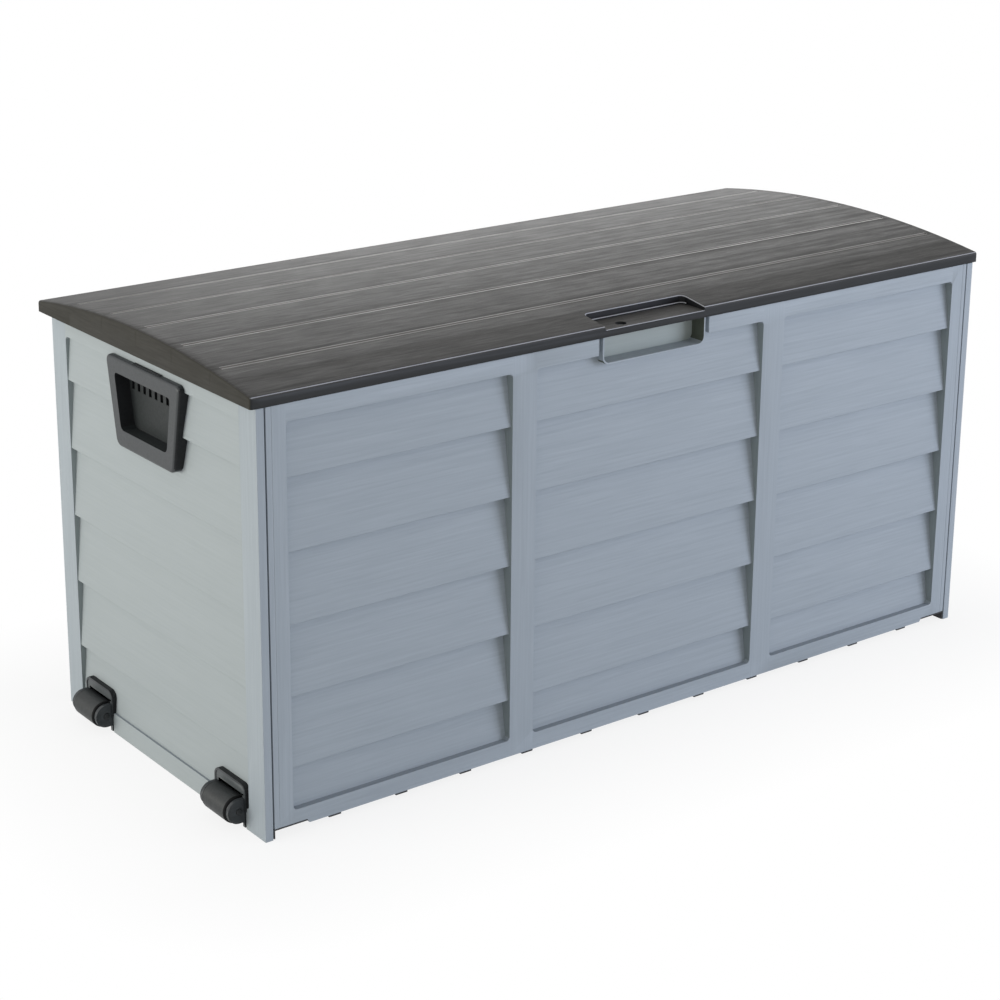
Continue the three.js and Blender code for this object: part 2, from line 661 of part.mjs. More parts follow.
// The lug that turns on the pin; its tail meets the back panel when the lid is fully open.
function lidLug(x) {
  const { y, z, barrel, pin } = HINGE;
  const x0 = x - HINGE.lug / 2;
  const x1 = x + HINGE.lug / 2;
  const rear = LID_DEPTH / 2 - FIT;
  const face = REAR_Y + FIT - y;
  const tailDown = (face - (rear - y) * Math.cos(LID_OPEN)) / Math.sin(LID_OPEN);
  const tail = [[rear, z + tailDown], [rear, LID_RIM_TOP - 4]];
  const lug = [...arc(y, z, barrel, 180, 270, 4), ...tail, [y - barrel, LID_RIM_TOP + 1]];
  return cut(alongX(polygon(lug), x0, x1), alongX(disc(y, z, pin + FIT + 0.1), x0 - OVER, x1 + OVER));
}

function lid() {
  const half = LID_LENGTH / 2 - LID_WALL;
  const front = -LID_DEPTH / 2;
  const over = LID_CROWN + OVER;
  const shell = cut(lidBody(), alongX(lidSection(LID_WALL, LID_RIM_BOTTOM - 10), -half, half));
  const trayWalls = alongZ(trayOutline(LID_WALL), TRAY.floor - LID_WALL, over).intersect(lidBody());
  const recess = join(
    alongZ(trayOutline(0), TRAY.floor + TRAY.ledge, over),
    alongZ(trayOutline(-TRAY.ledge), TRAY.floor, over),
    block(-TRAY.half, TRAY.half, front - 5, front + TRAY.depth - TRAY_LEDGE_BACK, TRAY.floor, over - 2),
  );
  const hole = alongZ(disc(PADLOCK_HOLE.x, PADLOCK_HOLE.y, PADLOCK_HOLE.radius, 20), LID_RIM_BOTTOM, over);
  const body = cut(join(shell, lidRibs(), trayWalls), recess, hole);
  return join(body, HINGE_X.map(lidLug));
}

// ---- Assembly ----

const box = new THREE.Group();
box.name = 'deck_storage_box';

// Centres the frame between the rollers' reach on the left and the handle's on the right.
const leftReach = SIDE_X + ROLLER.axisOut + ROLLER.radius;
const rightReach = SIDE_X + HANDLE.proud;
box.position.set((leftReach - rightReach) / 2, 0, 0);

box.add(toMesh('base_panel', basePanel(), BLACK()));
box.add(toMesh('front_panel', frontPanel(), WALL_GREY()));
box.add(toMesh('back_panel', backPanel(), WALL_GREY()));
box.add(toMesh('left_side_panel', toLeft(sidePanel(true)), WALL_GREY()));
box.add(toMesh('right_side_panel', toRight(sidePanel(false)), WALL_GREY()));
box.add(toMesh('left_handle', toLeft(handle()), DARK_GREY()));
box.add(toMesh('right_handle', toRight(handle()), DARK_GREY()));
for (const [place, x] of Object.entries(ROLLER_X)) {
  box.add(toMesh(`${place}_roller_bracket`, toLeft(rollerBracket(x)), DARK_GREY()));
  box.add(toMesh(`${place}_roller`, toLeft(roller(x)), DARK_GREY()));
  box.add(toMesh(`${place}_roller_axle`, toLeft(rollerAxle(x)), PIN_GREY()));
}
box.add(toMesh('lid', lid(), LID_GREY()));
HINGE_X.forEach((x, i) => {
  box.add(toMesh(`hinge_pin_${i + 1}`, hingePin(x), PIN_GREY()));
});

export default box;
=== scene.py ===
"""A deck storage box: lap-board walls, a crowned lid, end handles and two rollers.

Sizes are millimetres. Each wall, with its handle and rollers, is built in a frame of its own,
where x runs along the wall, y goes inward from its outer face and z is up, and is then turned
into place. The other pieces use the lid's frame: x from the middle of the lid, -y out of the
front, z up from the floor.
"""

import logging
import math
from contextlib import contextmanager
from dataclasses import dataclass
from enum import Enum
from typing import Callable, Iterator, Sequence

import bmesh
import bpy
from mathutils import Matrix, Vector


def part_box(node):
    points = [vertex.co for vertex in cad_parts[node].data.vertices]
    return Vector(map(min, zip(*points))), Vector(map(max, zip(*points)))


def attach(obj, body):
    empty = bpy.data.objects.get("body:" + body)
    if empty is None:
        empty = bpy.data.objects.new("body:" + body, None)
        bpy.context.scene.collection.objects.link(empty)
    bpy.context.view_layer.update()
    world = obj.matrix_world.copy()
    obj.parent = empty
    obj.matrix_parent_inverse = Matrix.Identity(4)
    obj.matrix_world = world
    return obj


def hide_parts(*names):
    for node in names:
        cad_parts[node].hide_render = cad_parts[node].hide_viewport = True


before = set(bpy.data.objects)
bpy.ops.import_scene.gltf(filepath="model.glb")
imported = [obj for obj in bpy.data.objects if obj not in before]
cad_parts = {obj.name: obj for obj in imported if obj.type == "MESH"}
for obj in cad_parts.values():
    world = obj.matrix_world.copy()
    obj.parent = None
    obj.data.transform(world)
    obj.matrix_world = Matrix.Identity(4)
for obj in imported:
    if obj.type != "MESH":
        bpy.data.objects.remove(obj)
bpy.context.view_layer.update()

log = logging.getLogger("deck_box")

MM = 0.001
SIDES = (-1, 1)
SKIN = 3.5  # wall of every moulded panel
RIB = 3.0  # thickness of the walls' stiffening ribs and of the handles' cups
FIT = 0.3  # gap between pieces that touch
OVER = 1.0  # cutters run past faces by this
CLEAR = 60.0  # past a wall's back, or past a roller unit or a hinge on any side
BESIDE = 300.0  # y beyond the box's front and rear
ABOVE = 560.0  # z above the crown
ACROSS = (-160.0, 160.0)  # x past both sides of a handle
FAR = 600.0  # beyond the box on any side
SHARP = math.radians(30)  # edges that turn by more than this are rounded over and stay sharp

FRONT, REAR, END = -244.0, 223.0, 553.0  # outer faces of the front, rear and end walls
HINGES = (-420.0, -140.0, 140.0, 420.0)  # x of each hinge
HINGE_AXIS = (234.0, 500.0)  # y and z of the axis that all hinges share
KNUCKLE = 8.0  # radius of a hinge's barrels
PIN = 4.0  # radius of the axles and hinge pins
PIN_HEAD = 2.0  # thickness of a pin's head
PIN_EDGE = 0.9  # rounding of a pin's head and tip

Span = tuple[float, float]
Test = Callable[[Vector, Vector], bool]  # takes a part's middle in millimetres and its direction


def middle_x() -> float:
    """The x of the lid's middle in the part's frame, in metres."""
    low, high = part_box("lid")
    return (low.x + high.x) / 2


def on_side(side: int, inner: float, outer: float, middle: float = 0.0) -> Span:
    """The stretch between two distances from a middle, on the side that is -1 or 1."""
    low, high = sorted((middle + side * inner, middle + side * outer))
    return (low, high)


# ---------------------------------------------------------------- modelling by hand


class Pick(Enum):
    """What an edit-mode selection is made of."""

    VERT = "VERT"
    EDGE = "EDGE"
    FACE = "FACE"


class Axis(Enum):
    """An axis, by its place in a vector."""

    X = 0
    Y = 1
    Z = 2


class Merge(Enum):
    """What a boolean does with its tool."""

    CUT = "DIFFERENCE"
    ADD = "UNION"


def alone(piece: bpy.types.Object) -> None:
    """Makes one piece the only selected and active one.

    Args:
        piece: The piece.
    """
    bpy.ops.object.select_all(action="DESELECT")
    piece.select_set(True)
    bpy.context.view_layer.objects.active = piece


@contextmanager
def editing(piece: bpy.types.Object) -> Iterator[None]:
    """Opens a piece in edit mode with nothing selected.

    Args:
        piece: The piece.
    """
    alone(piece)
    bpy.ops.object.mode_set(mode="EDIT")
    bpy.ops.mesh.select_all(action="DESELECT")
    yield
    bpy.ops.object.mode_set(mode="OBJECT")


def near(a: float, b: float, within: float = 0.05) -> bool:
    """Whether two sizes lie within a small distance of each other."""
    return abs(a - b) < within


def at(x: float | None = None, y: float | None = None, z: float | None = None) -> Test:
    """A test for parts whose middle has the coordinates that are given."""
    wanted = [(line, value) for line, value in enumerate((x, y, z)) if value is not None]
    return lambda place, way: all(near(place[line], value) for line, value in wanted)


def pick(piece: bpy.types.Object, kind: Pick, test: Test) -> None:
    """Selects the parts of a piece in edit mode that pass a test.

    Args:
        piece: The piece in edit mode.
        kind: Whether to select corners, edges or faces.
        test: The test. A part's direction is the normal of a corner or face and the line of
            an edge.
    """
    bpy.ops.mesh.select_mode(type=kind.value)
    bpy.ops.mesh.select_all(action="DESELECT")
    shape = bmesh.from_edit_mesh(piece.data)
    if kind is Pick.VERT:
        parts = [(corner, corner.co, corner.normal) for corner in shape.verts]
    elif kind is Pick.EDGE:
        ends = [(edge, *[corner.co for corner in edge.verts]) for edge in shape.edges]
        parts = [(edge, (a + b) / 2, (b - a).normalized()) for edge, a, b in ends]
    else:
        parts = [(face, face.calc_center_median(), face.normal) for face in shape.faces]
    for part, place, way in parts:
        if test(place / MM, way):
            part.select_set(True)
    bmesh.update_edit_mesh(piece.data)


def named(name: str) -> bpy.types.Object:
    """Names the piece just added and puts its place into its mesh.

    Args:
        name: The piece's name.

    Returns:
        The piece.
    """
    piece = bpy.context.object
    piece.name = name
    piece.data.name = name
    bpy.ops.object.transform_apply(location=True, rotation=True, scale=True)
    return piece


def block(name: str, x: Span, y: Span, z: Span) -> bpy.types.Object:
    """Adds a cuboid.

    Args:
        name: The piece's name.
        x: Its limits from side to side.
        y: Its limits from front to back.
        z: Its limits in height.

    Returns:
        The piece.
    """
    bpy.ops.object.select_all(action="DESELECT")
    middle = [MM * (low + high) / 2 for low, high in (x, y, z)]
    size = [MM * (high - low) for low, high in (x, y, z)]
    bpy.ops.mesh.primitive_cube_add(size=1, location=middle, scale=size)
    return named(name)


def rod(
    name: str, axis: Axis, radius: float, ends: Span, across: Span, sides: int = 32
) -> bpy.types.Object:
    """Adds a cylinder along X or Z.

    Args:
        name: The piece's name.
        axis: Axis.X or Axis.Z.
        radius: Its radius.
        ends: Its two ends along the axis.
        across: Its place on the other two axes, in X, Y, Z order.
        sides: Number of sides.

    Returns:
        The piece.
    """
    bpy.ops.object.select_all(action="DESELECT")
    place = list(across)
    place.insert(axis.value, (ends[0] + ends[1]) / 2)
    bpy.ops.mesh.primitive_cylinder_add(
        vertices=sides,
        radius=radius * MM,
        depth=(ends[1] - ends[0]) * MM,
        location=[value * MM for value in place],
        rotation=(0, math.pi / 2 if axis is Axis.X else 0, 0),
    )
    return named(name)


def drag(piece: bpy.types.Object, test: Test, x: float = 0, y: float = 0, z: float = 0) -> None:
    """Moves the edges of a piece that pass a test.

    Args:
        piece: The piece.
        test: Which edges to move.
        x: How far they move to the side.
        y: How far they move back.
        z: How far they move up.
    """
    with editing(piece):
        pick(piece, Pick.EDGE, test)
        bpy.ops.transform.translate(value=(x * MM, y * MM, z * MM))


def round_edges(piece: bpy.types.Object, radius: float, segments: int, test: Test) -> None:
    """Rounds the edges of a piece that pass a test.

    Args:
        piece: The piece.
        radius: How far the rounding reaches from each edge.
        segments: Number of flat strips that make it.
        test: Which edges to round.
    """
    with editing(piece):
        pick(piece, Pick.EDGE, test)
        bpy.ops.mesh.bevel(offset=radius * MM, segments=segments)


def round_along(piece: bpy.types.Object, axis: Axis, radius: float, segments: int) -> None:
    """Rounds the edges of a piece that run along an axis."""
    round_edges(piece, radius, segments, lambda place, way: abs(way[axis.value]) > 0.9)


def soft_block(
    name: str, x: Span, y: Span, z: Span, axis: Axis, radius: float, segments: int = 4
) -> bpy.types.Object:
    """Adds a cuboid whose four edges along one axis are rounded.

    Args:
        name: The piece's name.
        x: Its limits from side to side.
        y: Its limits from front to back.
        z: Its limits in height.
        axis: The axis.
        radius: Radius of the rounding.
        segments: Number of flat strips that make it.

    Returns:
        The piece.
    """
    piece = block(name, x, y, z)
    round_along(piece, axis, radius, segments)
    return piece


def split(place: Sequence[float], normal: Sequence[float], drop: bool = False) -> None:
    """Cuts the piece that is in edit mode with a plane.

    Args:
        place: A point of the plane.
        normal: The way the plane faces.
        drop: Whether to drop the side that it faces and close the cut.
    """
    bpy.ops.mesh.select_all(action="SELECT")
    bpy.ops.mesh.bisect(
        plane_co=[value * MM for value in place],
        plane_no=normal,
        use_fill=drop,
        clear_outer=drop,
        threshold=1e-6,
    )


def slice_off(piece: bpy.types.Object, place: Sequence[float], normal: Sequence[float]) -> None:
    """Drops the side of a piece that a plane faces, and closes the cut."""
    with editing(piece):
        split(place, normal, drop=True)


def shift(piece: bpy.types.Object, x: float = 0, z: float = 0) -> bpy.types.Object:
    """Moves a whole piece and keeps its object at the origin.

    Args:
        piece: The piece.
        x: How far it moves to the side.
        z: How far it moves up.

    Returns:
        The piece.
    """
    alone(piece)
    piece.location = Vector((x, 0, z)) * MM
    bpy.ops.object.transform_apply(location=True, rotation=False, scale=False)
    return piece


def duplicate(piece: bpy.types.Object, name: str, z: float) -> bpy.types.Object:
    """Copies a piece, with a mesh of its own, and moves the copy up.

    Args:
        piece: The piece to copy.
        name: The copy's name.
        z: How far up it goes.

    Returns:
        The copy.
    """
    alone(piece)
    bpy.ops.object.duplicate(linked=False)
    twin = bpy.context.object
    twin.name = name
    twin.data.name = name
    return shift(twin, z=z)


def weld(name: str, pieces: Sequence[bpy.types.Object]) -> bpy.types.Object:
    """Joins pieces into one object.

    Args:
        name: The object's name.
        pieces: The pieces.

    Returns:
        The object.
    """
    alone(pieces[0])
    for piece in pieces[1:]:
        piece.select_set(True)
    bpy.ops.object.join()
    pieces[0].name = name
    pieces[0].data.name = name
    return pieces[0]


def combine(piece: bpy.types.Object, merge: Merge, *tools: bpy.types.Object) -> bpy.types.Object:
    """Cuts solids from a piece, or adds them to it, and removes them.

    Args:
        piece: The piece that is kept.
        merge: Whether to cut or to add.
        *tools: The solids, taken one after the other.

    Returns:
        The piece.
    """
    for tool in tools:
        alone(piece)
        boolean = piece.modifiers.new("boolean", "BOOLEAN")
        boolean.operation = merge.value
        boolean.object = tool
        boolean.solver = "MANIFOLD"
        bpy.ops.object.modifier_apply(modifier=boolean.name)
        bpy.data.objects.remove(tool)
    return piece


def cut(piece: bpy.types.Object, *tools: bpy.types.Object) -> bpy.types.Object:
    """Cuts solids from a piece and returns it."""
    return combine(piece, Merge.CUT, *tools)


def add(piece: bpy.types.Object, *tools: bpy.types.Object) -> bpy.types.Object:
    """Adds solids to a piece and returns it."""
    return combine(piece, Merge.ADD, *tools)


def shade(piece: bpy.types.Object) -> bpy.types.Object:
    """Shades a piece smooth between its sharp edges.

    Args:
        piece: The piece.

    Returns:
        The piece.
    """
    alone(piece)
    bpy.ops.object.shade_smooth_by_angle(angle=SHARP)
    return piece


def soften(piece: bpy.types.Object, width: float) -> bpy.types.Object:
    """Rounds over a piece's sharp edges, and shades it so that its flat faces stay flat.

    Args:
        piece: The piece.
        width: How far the rounding reaches from each edge.

    Returns:
        The piece.
    """
    alone(piece)
    bevel = piece.modifiers.new("bevel", "BEVEL")
    bevel.width = width * MM
    bevel.segments = 2
    bevel.limit_method = "ANGLE"
    bevel.angle_limit = SHARP
    bevel.miter_outer = "MITER_ARC"
    bpy.ops.object.modifier_apply(modifier=bevel.name)
    shade(piece)
    even = piece.modifiers.new("even", "WEIGHTED_NORMAL")
    even.keep_sharp = True
    bpy.ops.object.modifier_apply(modifier=even.name)
    return piece


# ---------------------------------------------------------------- finishes


def linear(code: str) -> tuple[float, float, float, float]:
    """Turns an sRGB hex value into a linear colour.

    Args:
        code: The hex value, with its #.

    Returns:
        Red, green, blue and an alpha of 1.
    """
    channels = [int(code[i:i + 2], 16) / 255 for i in (1, 3, 5)]
    curve = [c / 12.92 if c <= 0.04045 else ((c + 0.055) / 1.055) ** 2.4 for c in channels]
    return (*curve, 1.0)


def blank_tree(owner: bpy.types.Material | bpy.types.World) -> bpy.types.NodeTree:
    """Turns on the nodes of a material or the world and clears them.

    Args:
        owner: The material or world.

    Returns:
        Its node tree.
    """
    owner.use_nodes = True
    owner.node_tree.nodes.clear()
    return owner.node_tree


def add_node(tree: bpy.types.NodeTree, kind: str, settings: dict | None = None) -> bpy.types.Node:
    """Adds a node with its settings and links.

    Args:
        tree: The node tree.
        kind: The node's type.
        settings: Values by the name of a setting, or by the name or index of an input. An
            input takes a plain value, an output to link, or a node whose first output is
            linked.

    Returns:
        The node.
    """
    node = tree.nodes.new(kind)
    for key, value in (settings or {}).items():
        source = value.outputs[0] if isinstance(value, bpy.types.Node) else value
        if isinstance(source, bpy.types.NodeSocket):
            tree.links.new(source, node.inputs[key])
        elif isinstance(key, int) or key in node.inputs:
            node.inputs[key].default_value = value
        else:
            setattr(node, key, value)
    return node


@dataclass(frozen=True)
class Plastic:
    """Injection-moulded polypropylene with a fine wood grain pressed into it by the mould.

    The grain gives the eye long faint streaks, a soft sheen and slightly uneven colour.

    Attributes:
        name: The material's name.
        colour: Middle colour, sRGB hex.
        deep: Colour in the bottom of the grain.
        pale: Colour on its high lines.
        grain: The axis that the grain runs along.
        length: Length of a streak, mm.
        width: Width of a streak, mm.
        emboss: Height of the grain, mm.
        roughness: How matt it is.
        shine: Strength of its mirror part, 0.5 for a plain moulded face and less for a
            textured one.
        wear: How much the high lines of the grain are polished, as a change of roughness.
        grit: Size of the mould's fine grit, mm.
        cloud: Size of the patches that vary the sheen, mm.
    """

    name: str
    colour: str
    deep: str
    pale: str
    grain: Axis = Axis.X
    length: float = 60.0
    width: float = 3.0
    emboss: float = 0.05
    roughness: float = 0.55
    shine: float = 0.5
    wear: float = 0.05
    grit: float = 0.7
    cloud: float = 50.0

    def build(self) -> bpy.types.Material:
        """Makes the material.

        Returns:
            The material.
        """
        material = bpy.data.materials.new(self.name)
        tree = blank_tree(material)
        place = add_node(tree, "ShaderNodeTexCoord").outputs["Object"]
        scale = [1 / (self.width * MM)] * 3
        scale[self.grain.value] = 1 / (self.length * MM)
        stretched = add_node(tree, "ShaderNodeMapping", {"Scale": scale, "Vector": place})
        streaks = add_node(tree, "ShaderNodeTexNoise", {
            "Vector": stretched, "Scale": 1.0, "Detail": 5.0, "Roughness": 0.6, "Distortion": 0.4,
        })
        cloud = add_node(tree, "ShaderNodeTexNoise", {
            "Vector": place, "Scale": 1 / (self.cloud * MM), "Detail": 3.0,
        })
        grit = add_node(tree, "ShaderNodeTexNoise", {
            "Vector": place, "Scale": 1 / (self.grit * MM), "Detail": 2.0,
        })
        tones = add_node(tree, "ShaderNodeValToRGB", {"Fac": streaks})
        low, high = tones.color_ramp.elements
        low.position = 0.3
        low.color = linear(self.deep)
        high.position = 0.72
        high.color = linear(self.pale)
        tones.color_ramp.elements.new(0.5).color = linear(self.colour)
        height = add_node(tree, "ShaderNodeMath", {
            "operation": "MULTIPLY_ADD", 0: grit, 1: 0.25, 2: streaks,
        })
        bump = add_node(tree, "ShaderNodeBump", {
            "Strength": 1.0, "Distance": self.emboss * MM, "Height": height,
        })
        uneven = add_node(tree, "ShaderNodeMath", {
            "operation": "MULTIPLY_ADD", 0: cloud, 1: 0.5, 2: streaks,
        })
        gloss = add_node(tree, "ShaderNodeMapRange", {
            "Value": uneven, "From Min": 0.5, "From Max": 1.0,
            "To Min": self.roughness + self.wear, "To Max": self.roughness - self.wear,
        })
        shader = add_node(tree, "ShaderNodeBsdfPrincipled", {
            "Base Color": tones, "Roughness": gloss, "Normal": bump,
            "IOR": 1.49, "Metallic": 0.0, "Specular IOR Level": self.shine,
        })
        add_node(tree, "ShaderNodeOutputMaterial", {"Surface": shader})
        return material


class Finish(Enum):
    """The finishes of the box, each made once."""

    # Lap boards, from a mould with wood grain: long faint streaks and a soft sheen.
    BOARD = Plastic("moulded_lap_board", "#9da6ad", "#98a1a8", "#a2abb2",
                    length=110.0, width=2.8, emboss=0.17)
    # Stiles, the same with upright grain and less of it: a smoother, plainer face.
    STILE = Plastic("moulded_stile", "#9da6ad", "#99a2a9", "#a1aab1",
                    grain=Axis.Z, length=120.0, width=2.6, emboss=0.13)
    # End boards, from an almost plain mould: even, a little warmer, hardly any streaks.
    END_BOARD = Plastic("moulded_end_board", "#9fa7aa", "#9da5a8", "#a1a9ac",
                        grain=Axis.Y, length=110.0, width=2.6, emboss=0.07)
    # The corner over a sill: a duller line, darker with painted shade.
    CREASE = Plastic("painted_sill_shade", "#8b939b", "#878f97", "#8f979f", width=2.0, roughness=0.7)
    # The upright sides of the bays: matt, and a little darker with painted shade.
    RECESS = Plastic("painted_shade_bay_side", "#8c9596", "#889192", "#90999a",
                     grain=Axis.Z, width=2.0, roughness=0.7)
    # The back of the hand pocket, from a plain mould: smooth and even, and painted paler than the boards
    # as painted light.
    POCKET = Plastic("painted_light_pocket_back", "#a9b2af", "#a6afac", "#abb4b1",
                     length=90.0, emboss=0.04)
    # The ends of the pocket: matt, and dark, flat and slightly olive with painted shade.
    POCKET_SIDE = Plastic("painted_shade_pocket_end", "#555b50", "#52584d", "#585e53",
                          grain=Axis.Z, length=40.0, emboss=0.04, roughness=0.7)
    # Planks of the lid, with wood grain pressed in: streaks that catch light from behind.
    # The real grain is 1 to 2 mm wide. It is drawn at 4.6 mm, so that it shows.
    LID_TOP = Plastic("embossed_lid", "#393836", "#302f2e", "#434240", length=42.0, width=4.6,
                      emboss=0.32, roughness=0.56, shine=0.25, wear=0.055)
    # The joints between planks, polished smoother, which gives some real sheen; their paler colour is a
    # painted highlight: lines that shine.
    LID_LINE = Plastic("painted_highlight_plank_joint", "#5d5a55", "#53504c", "#67645f",
                       width=2.0, emboss=0.03, roughness=0.38)
    # The lid's upright and downward faces, the rim and the underside: smooth, and nearly black with
    # painted shade.
    LID_RIM = Plastic("painted_shade_lid_side", "#15181a", "#121517", "#191c1f",
                      emboss=0.06, roughness=0.5, shine=0.3)
    # Tilted edges at the front and round the tray: glossier, and a thin bright line that is a painted
    # highlight.
    LID_EDGE = Plastic("painted_highlight_lid_edge", "#a8aab1", "#9698a0", "#babcc3",
                       length=40.0, width=2.0, emboss=0.06, roughness=0.25)
    # The ends of the lid, plain: dark with an olive cast, which is painted shade.
    LID_END = Plastic("painted_shade_lid_end", "#24221a", "#201e17", "#28261e",
                      grain=Axis.Y, length=40.0, emboss=0.1, roughness=0.6, shine=0.3)
    # The walls of the tray, from a polished core: some gloss, and nearly black with painted shade.
    LID_WELL = Plastic("painted_shade_tray_wall", "#16171a", "#131417", "#1a1b1e",
                       length=40.0, roughness=0.4, shine=0.3)
    # Handles and brackets, from a spark-eroded mould: satin with a fine speckle.
    CHARCOAL = Plastic("satin_charcoal", "#2f3336", "#2c3033", "#33373a",
                       length=6.0, roughness=0.42)
    # The brackets' plates, facing out: the same satin, painted lighter as painted light.
    PLATE = Plastic("painted_light_charcoal_plate", "#484d4f", "#454a4c", "#4c5153",
                    length=6.0, roughness=0.45)
    # The cups of the handles: more matt, and darker with painted shade.
    CUP = Plastic("painted_shade_charcoal_cup", "#25292a", "#232727", "#282c2d", length=6.0, shine=0.3)
    # The sides of the handles and brackets and the top of the handle's ridge: matt, and dark with painted
    # shade.
    SHADED = Plastic("painted_shade_charcoal_side", "#191b1d", "#16181a", "#1d1f21",
                     length=6.0, roughness=0.6, shine=0.3)
    # The rollers, turned by use: fine rings round the barrel and a dull sheen.
    ROLLER = Plastic("turned_charcoal", "#292c2d", "#222526", "#2f3233",
                     grain=Axis.Z, width=1.6, emboss=0.08, roughness=0.5, shine=0.4)
    # The ends of the rollers: no sheen, and a dark ring that is painted shade.
    RUBBER = Plastic("painted_shade_roller_end", "#0d0e0f", "#0b0c0d", "#101112",
                     length=6.0, roughness=0.7, shine=0.2)
    # The base, recycled black polypropylene: matt and faintly mottled.
    BLACK = Plastic("matt_black_base", "#1e1f22", "#1b1c1e", "#232427",
                    length=20.0, width=4.0, emboss=0.08, roughness=0.6)
    # The axles and hinge pins, glass-filled nylon: plain, dark and dull.
    PIN = Plastic("dark_pin", "#222527", "#1f2224", "#25282a",
                  length=6.0, emboss=0.03, roughness=0.5, shine=0.4)

    def material(self) -> bpy.types.Material:
        """This finish's material, built on first use."""
        return bpy.data.materials.get(self.value.name) or self.value.build()


def dress(piece: bpy.types.Object, finish: Finish) -> None:
    """Gives a piece one finish all over.

    Args:
        piece: The piece.
        finish: The finish.
    """
    piece.data.materials.clear()
    piece.data.materials.append(finish.material())
    for face in piece.data.polygons:
        face.material_index = 0


def dress_where(piece: bpy.types.Object, finish: Finish, test: Test) -> None:
    """Gives the faces of a dressed piece that pass a test another finish.

    Args:
        piece: The piece.
        finish: The finish.
        test: Which faces to change.
    """
    piece.data.materials.append(finish.material())
    last = len(piece.data.materials) - 1
    for face in piece.data.polygons:
        if test(face.center / MM, face.normal):
            face.material_index = last


@dataclass(frozen=True)
class Spot:
    """Where the frame that a piece is built in lies in the box.

    Attributes:
        turn: Degrees about Z that turn the frame into place.
        x: Where its origin lies, from the lid's middle.
        y: The same, from the front to the back.
        mirrored: Whether the piece is first mirrored in X.
    """

    turn: float = 0.0
    x: float = 0.0
    y: float = 0.0
    mirrored: bool = False

    def settle(self, piece: bpy.types.Object) -> None:
        """Turns a piece from this frame into the box's and puts that into its mesh.

        Args:
            piece: The piece.
        """
        alone(piece)
        place = Matrix.Translation((self.x * MM + middle_x(), self.y * MM, 0))
        flip = Matrix.Scale(-1, 4, (1, 0, 0)) if self.mirrored else Matrix.Identity(4)
        piece.matrix_world = place @ Matrix.Rotation(math.radians(self.turn), 4, "Z") @ flip
        bpy.ops.object.transform_apply(location=True, rotation=True, scale=True)
        if self.mirrored:
            with editing(piece):
                bpy.ops.mesh.select_all(action="SELECT")
                bpy.ops.mesh.normals_make_consistent(inside=False)


def seat(piece: bpy.types.Object, spot: Spot, body: str, slot: str, *nodes: str) -> None:
    """Puts a finished piece in place, on its body, and hides the solids that it stands for.

    Args:
        piece: The piece.
        spot: Where the frame that it was built in lies.
        body: The body that it rides on.
        slot: Its material slot in the record; not used.
        *nodes: The solids that it replaces, if any.
    """
    spot.settle(piece)
    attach(piece, body)
    if nodes:
        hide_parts(*nodes)
    log.info("%s rides on %s, %d faces", piece.name, body, len(piece.data.polygons))


# ---------------------------------------------------------------- lid


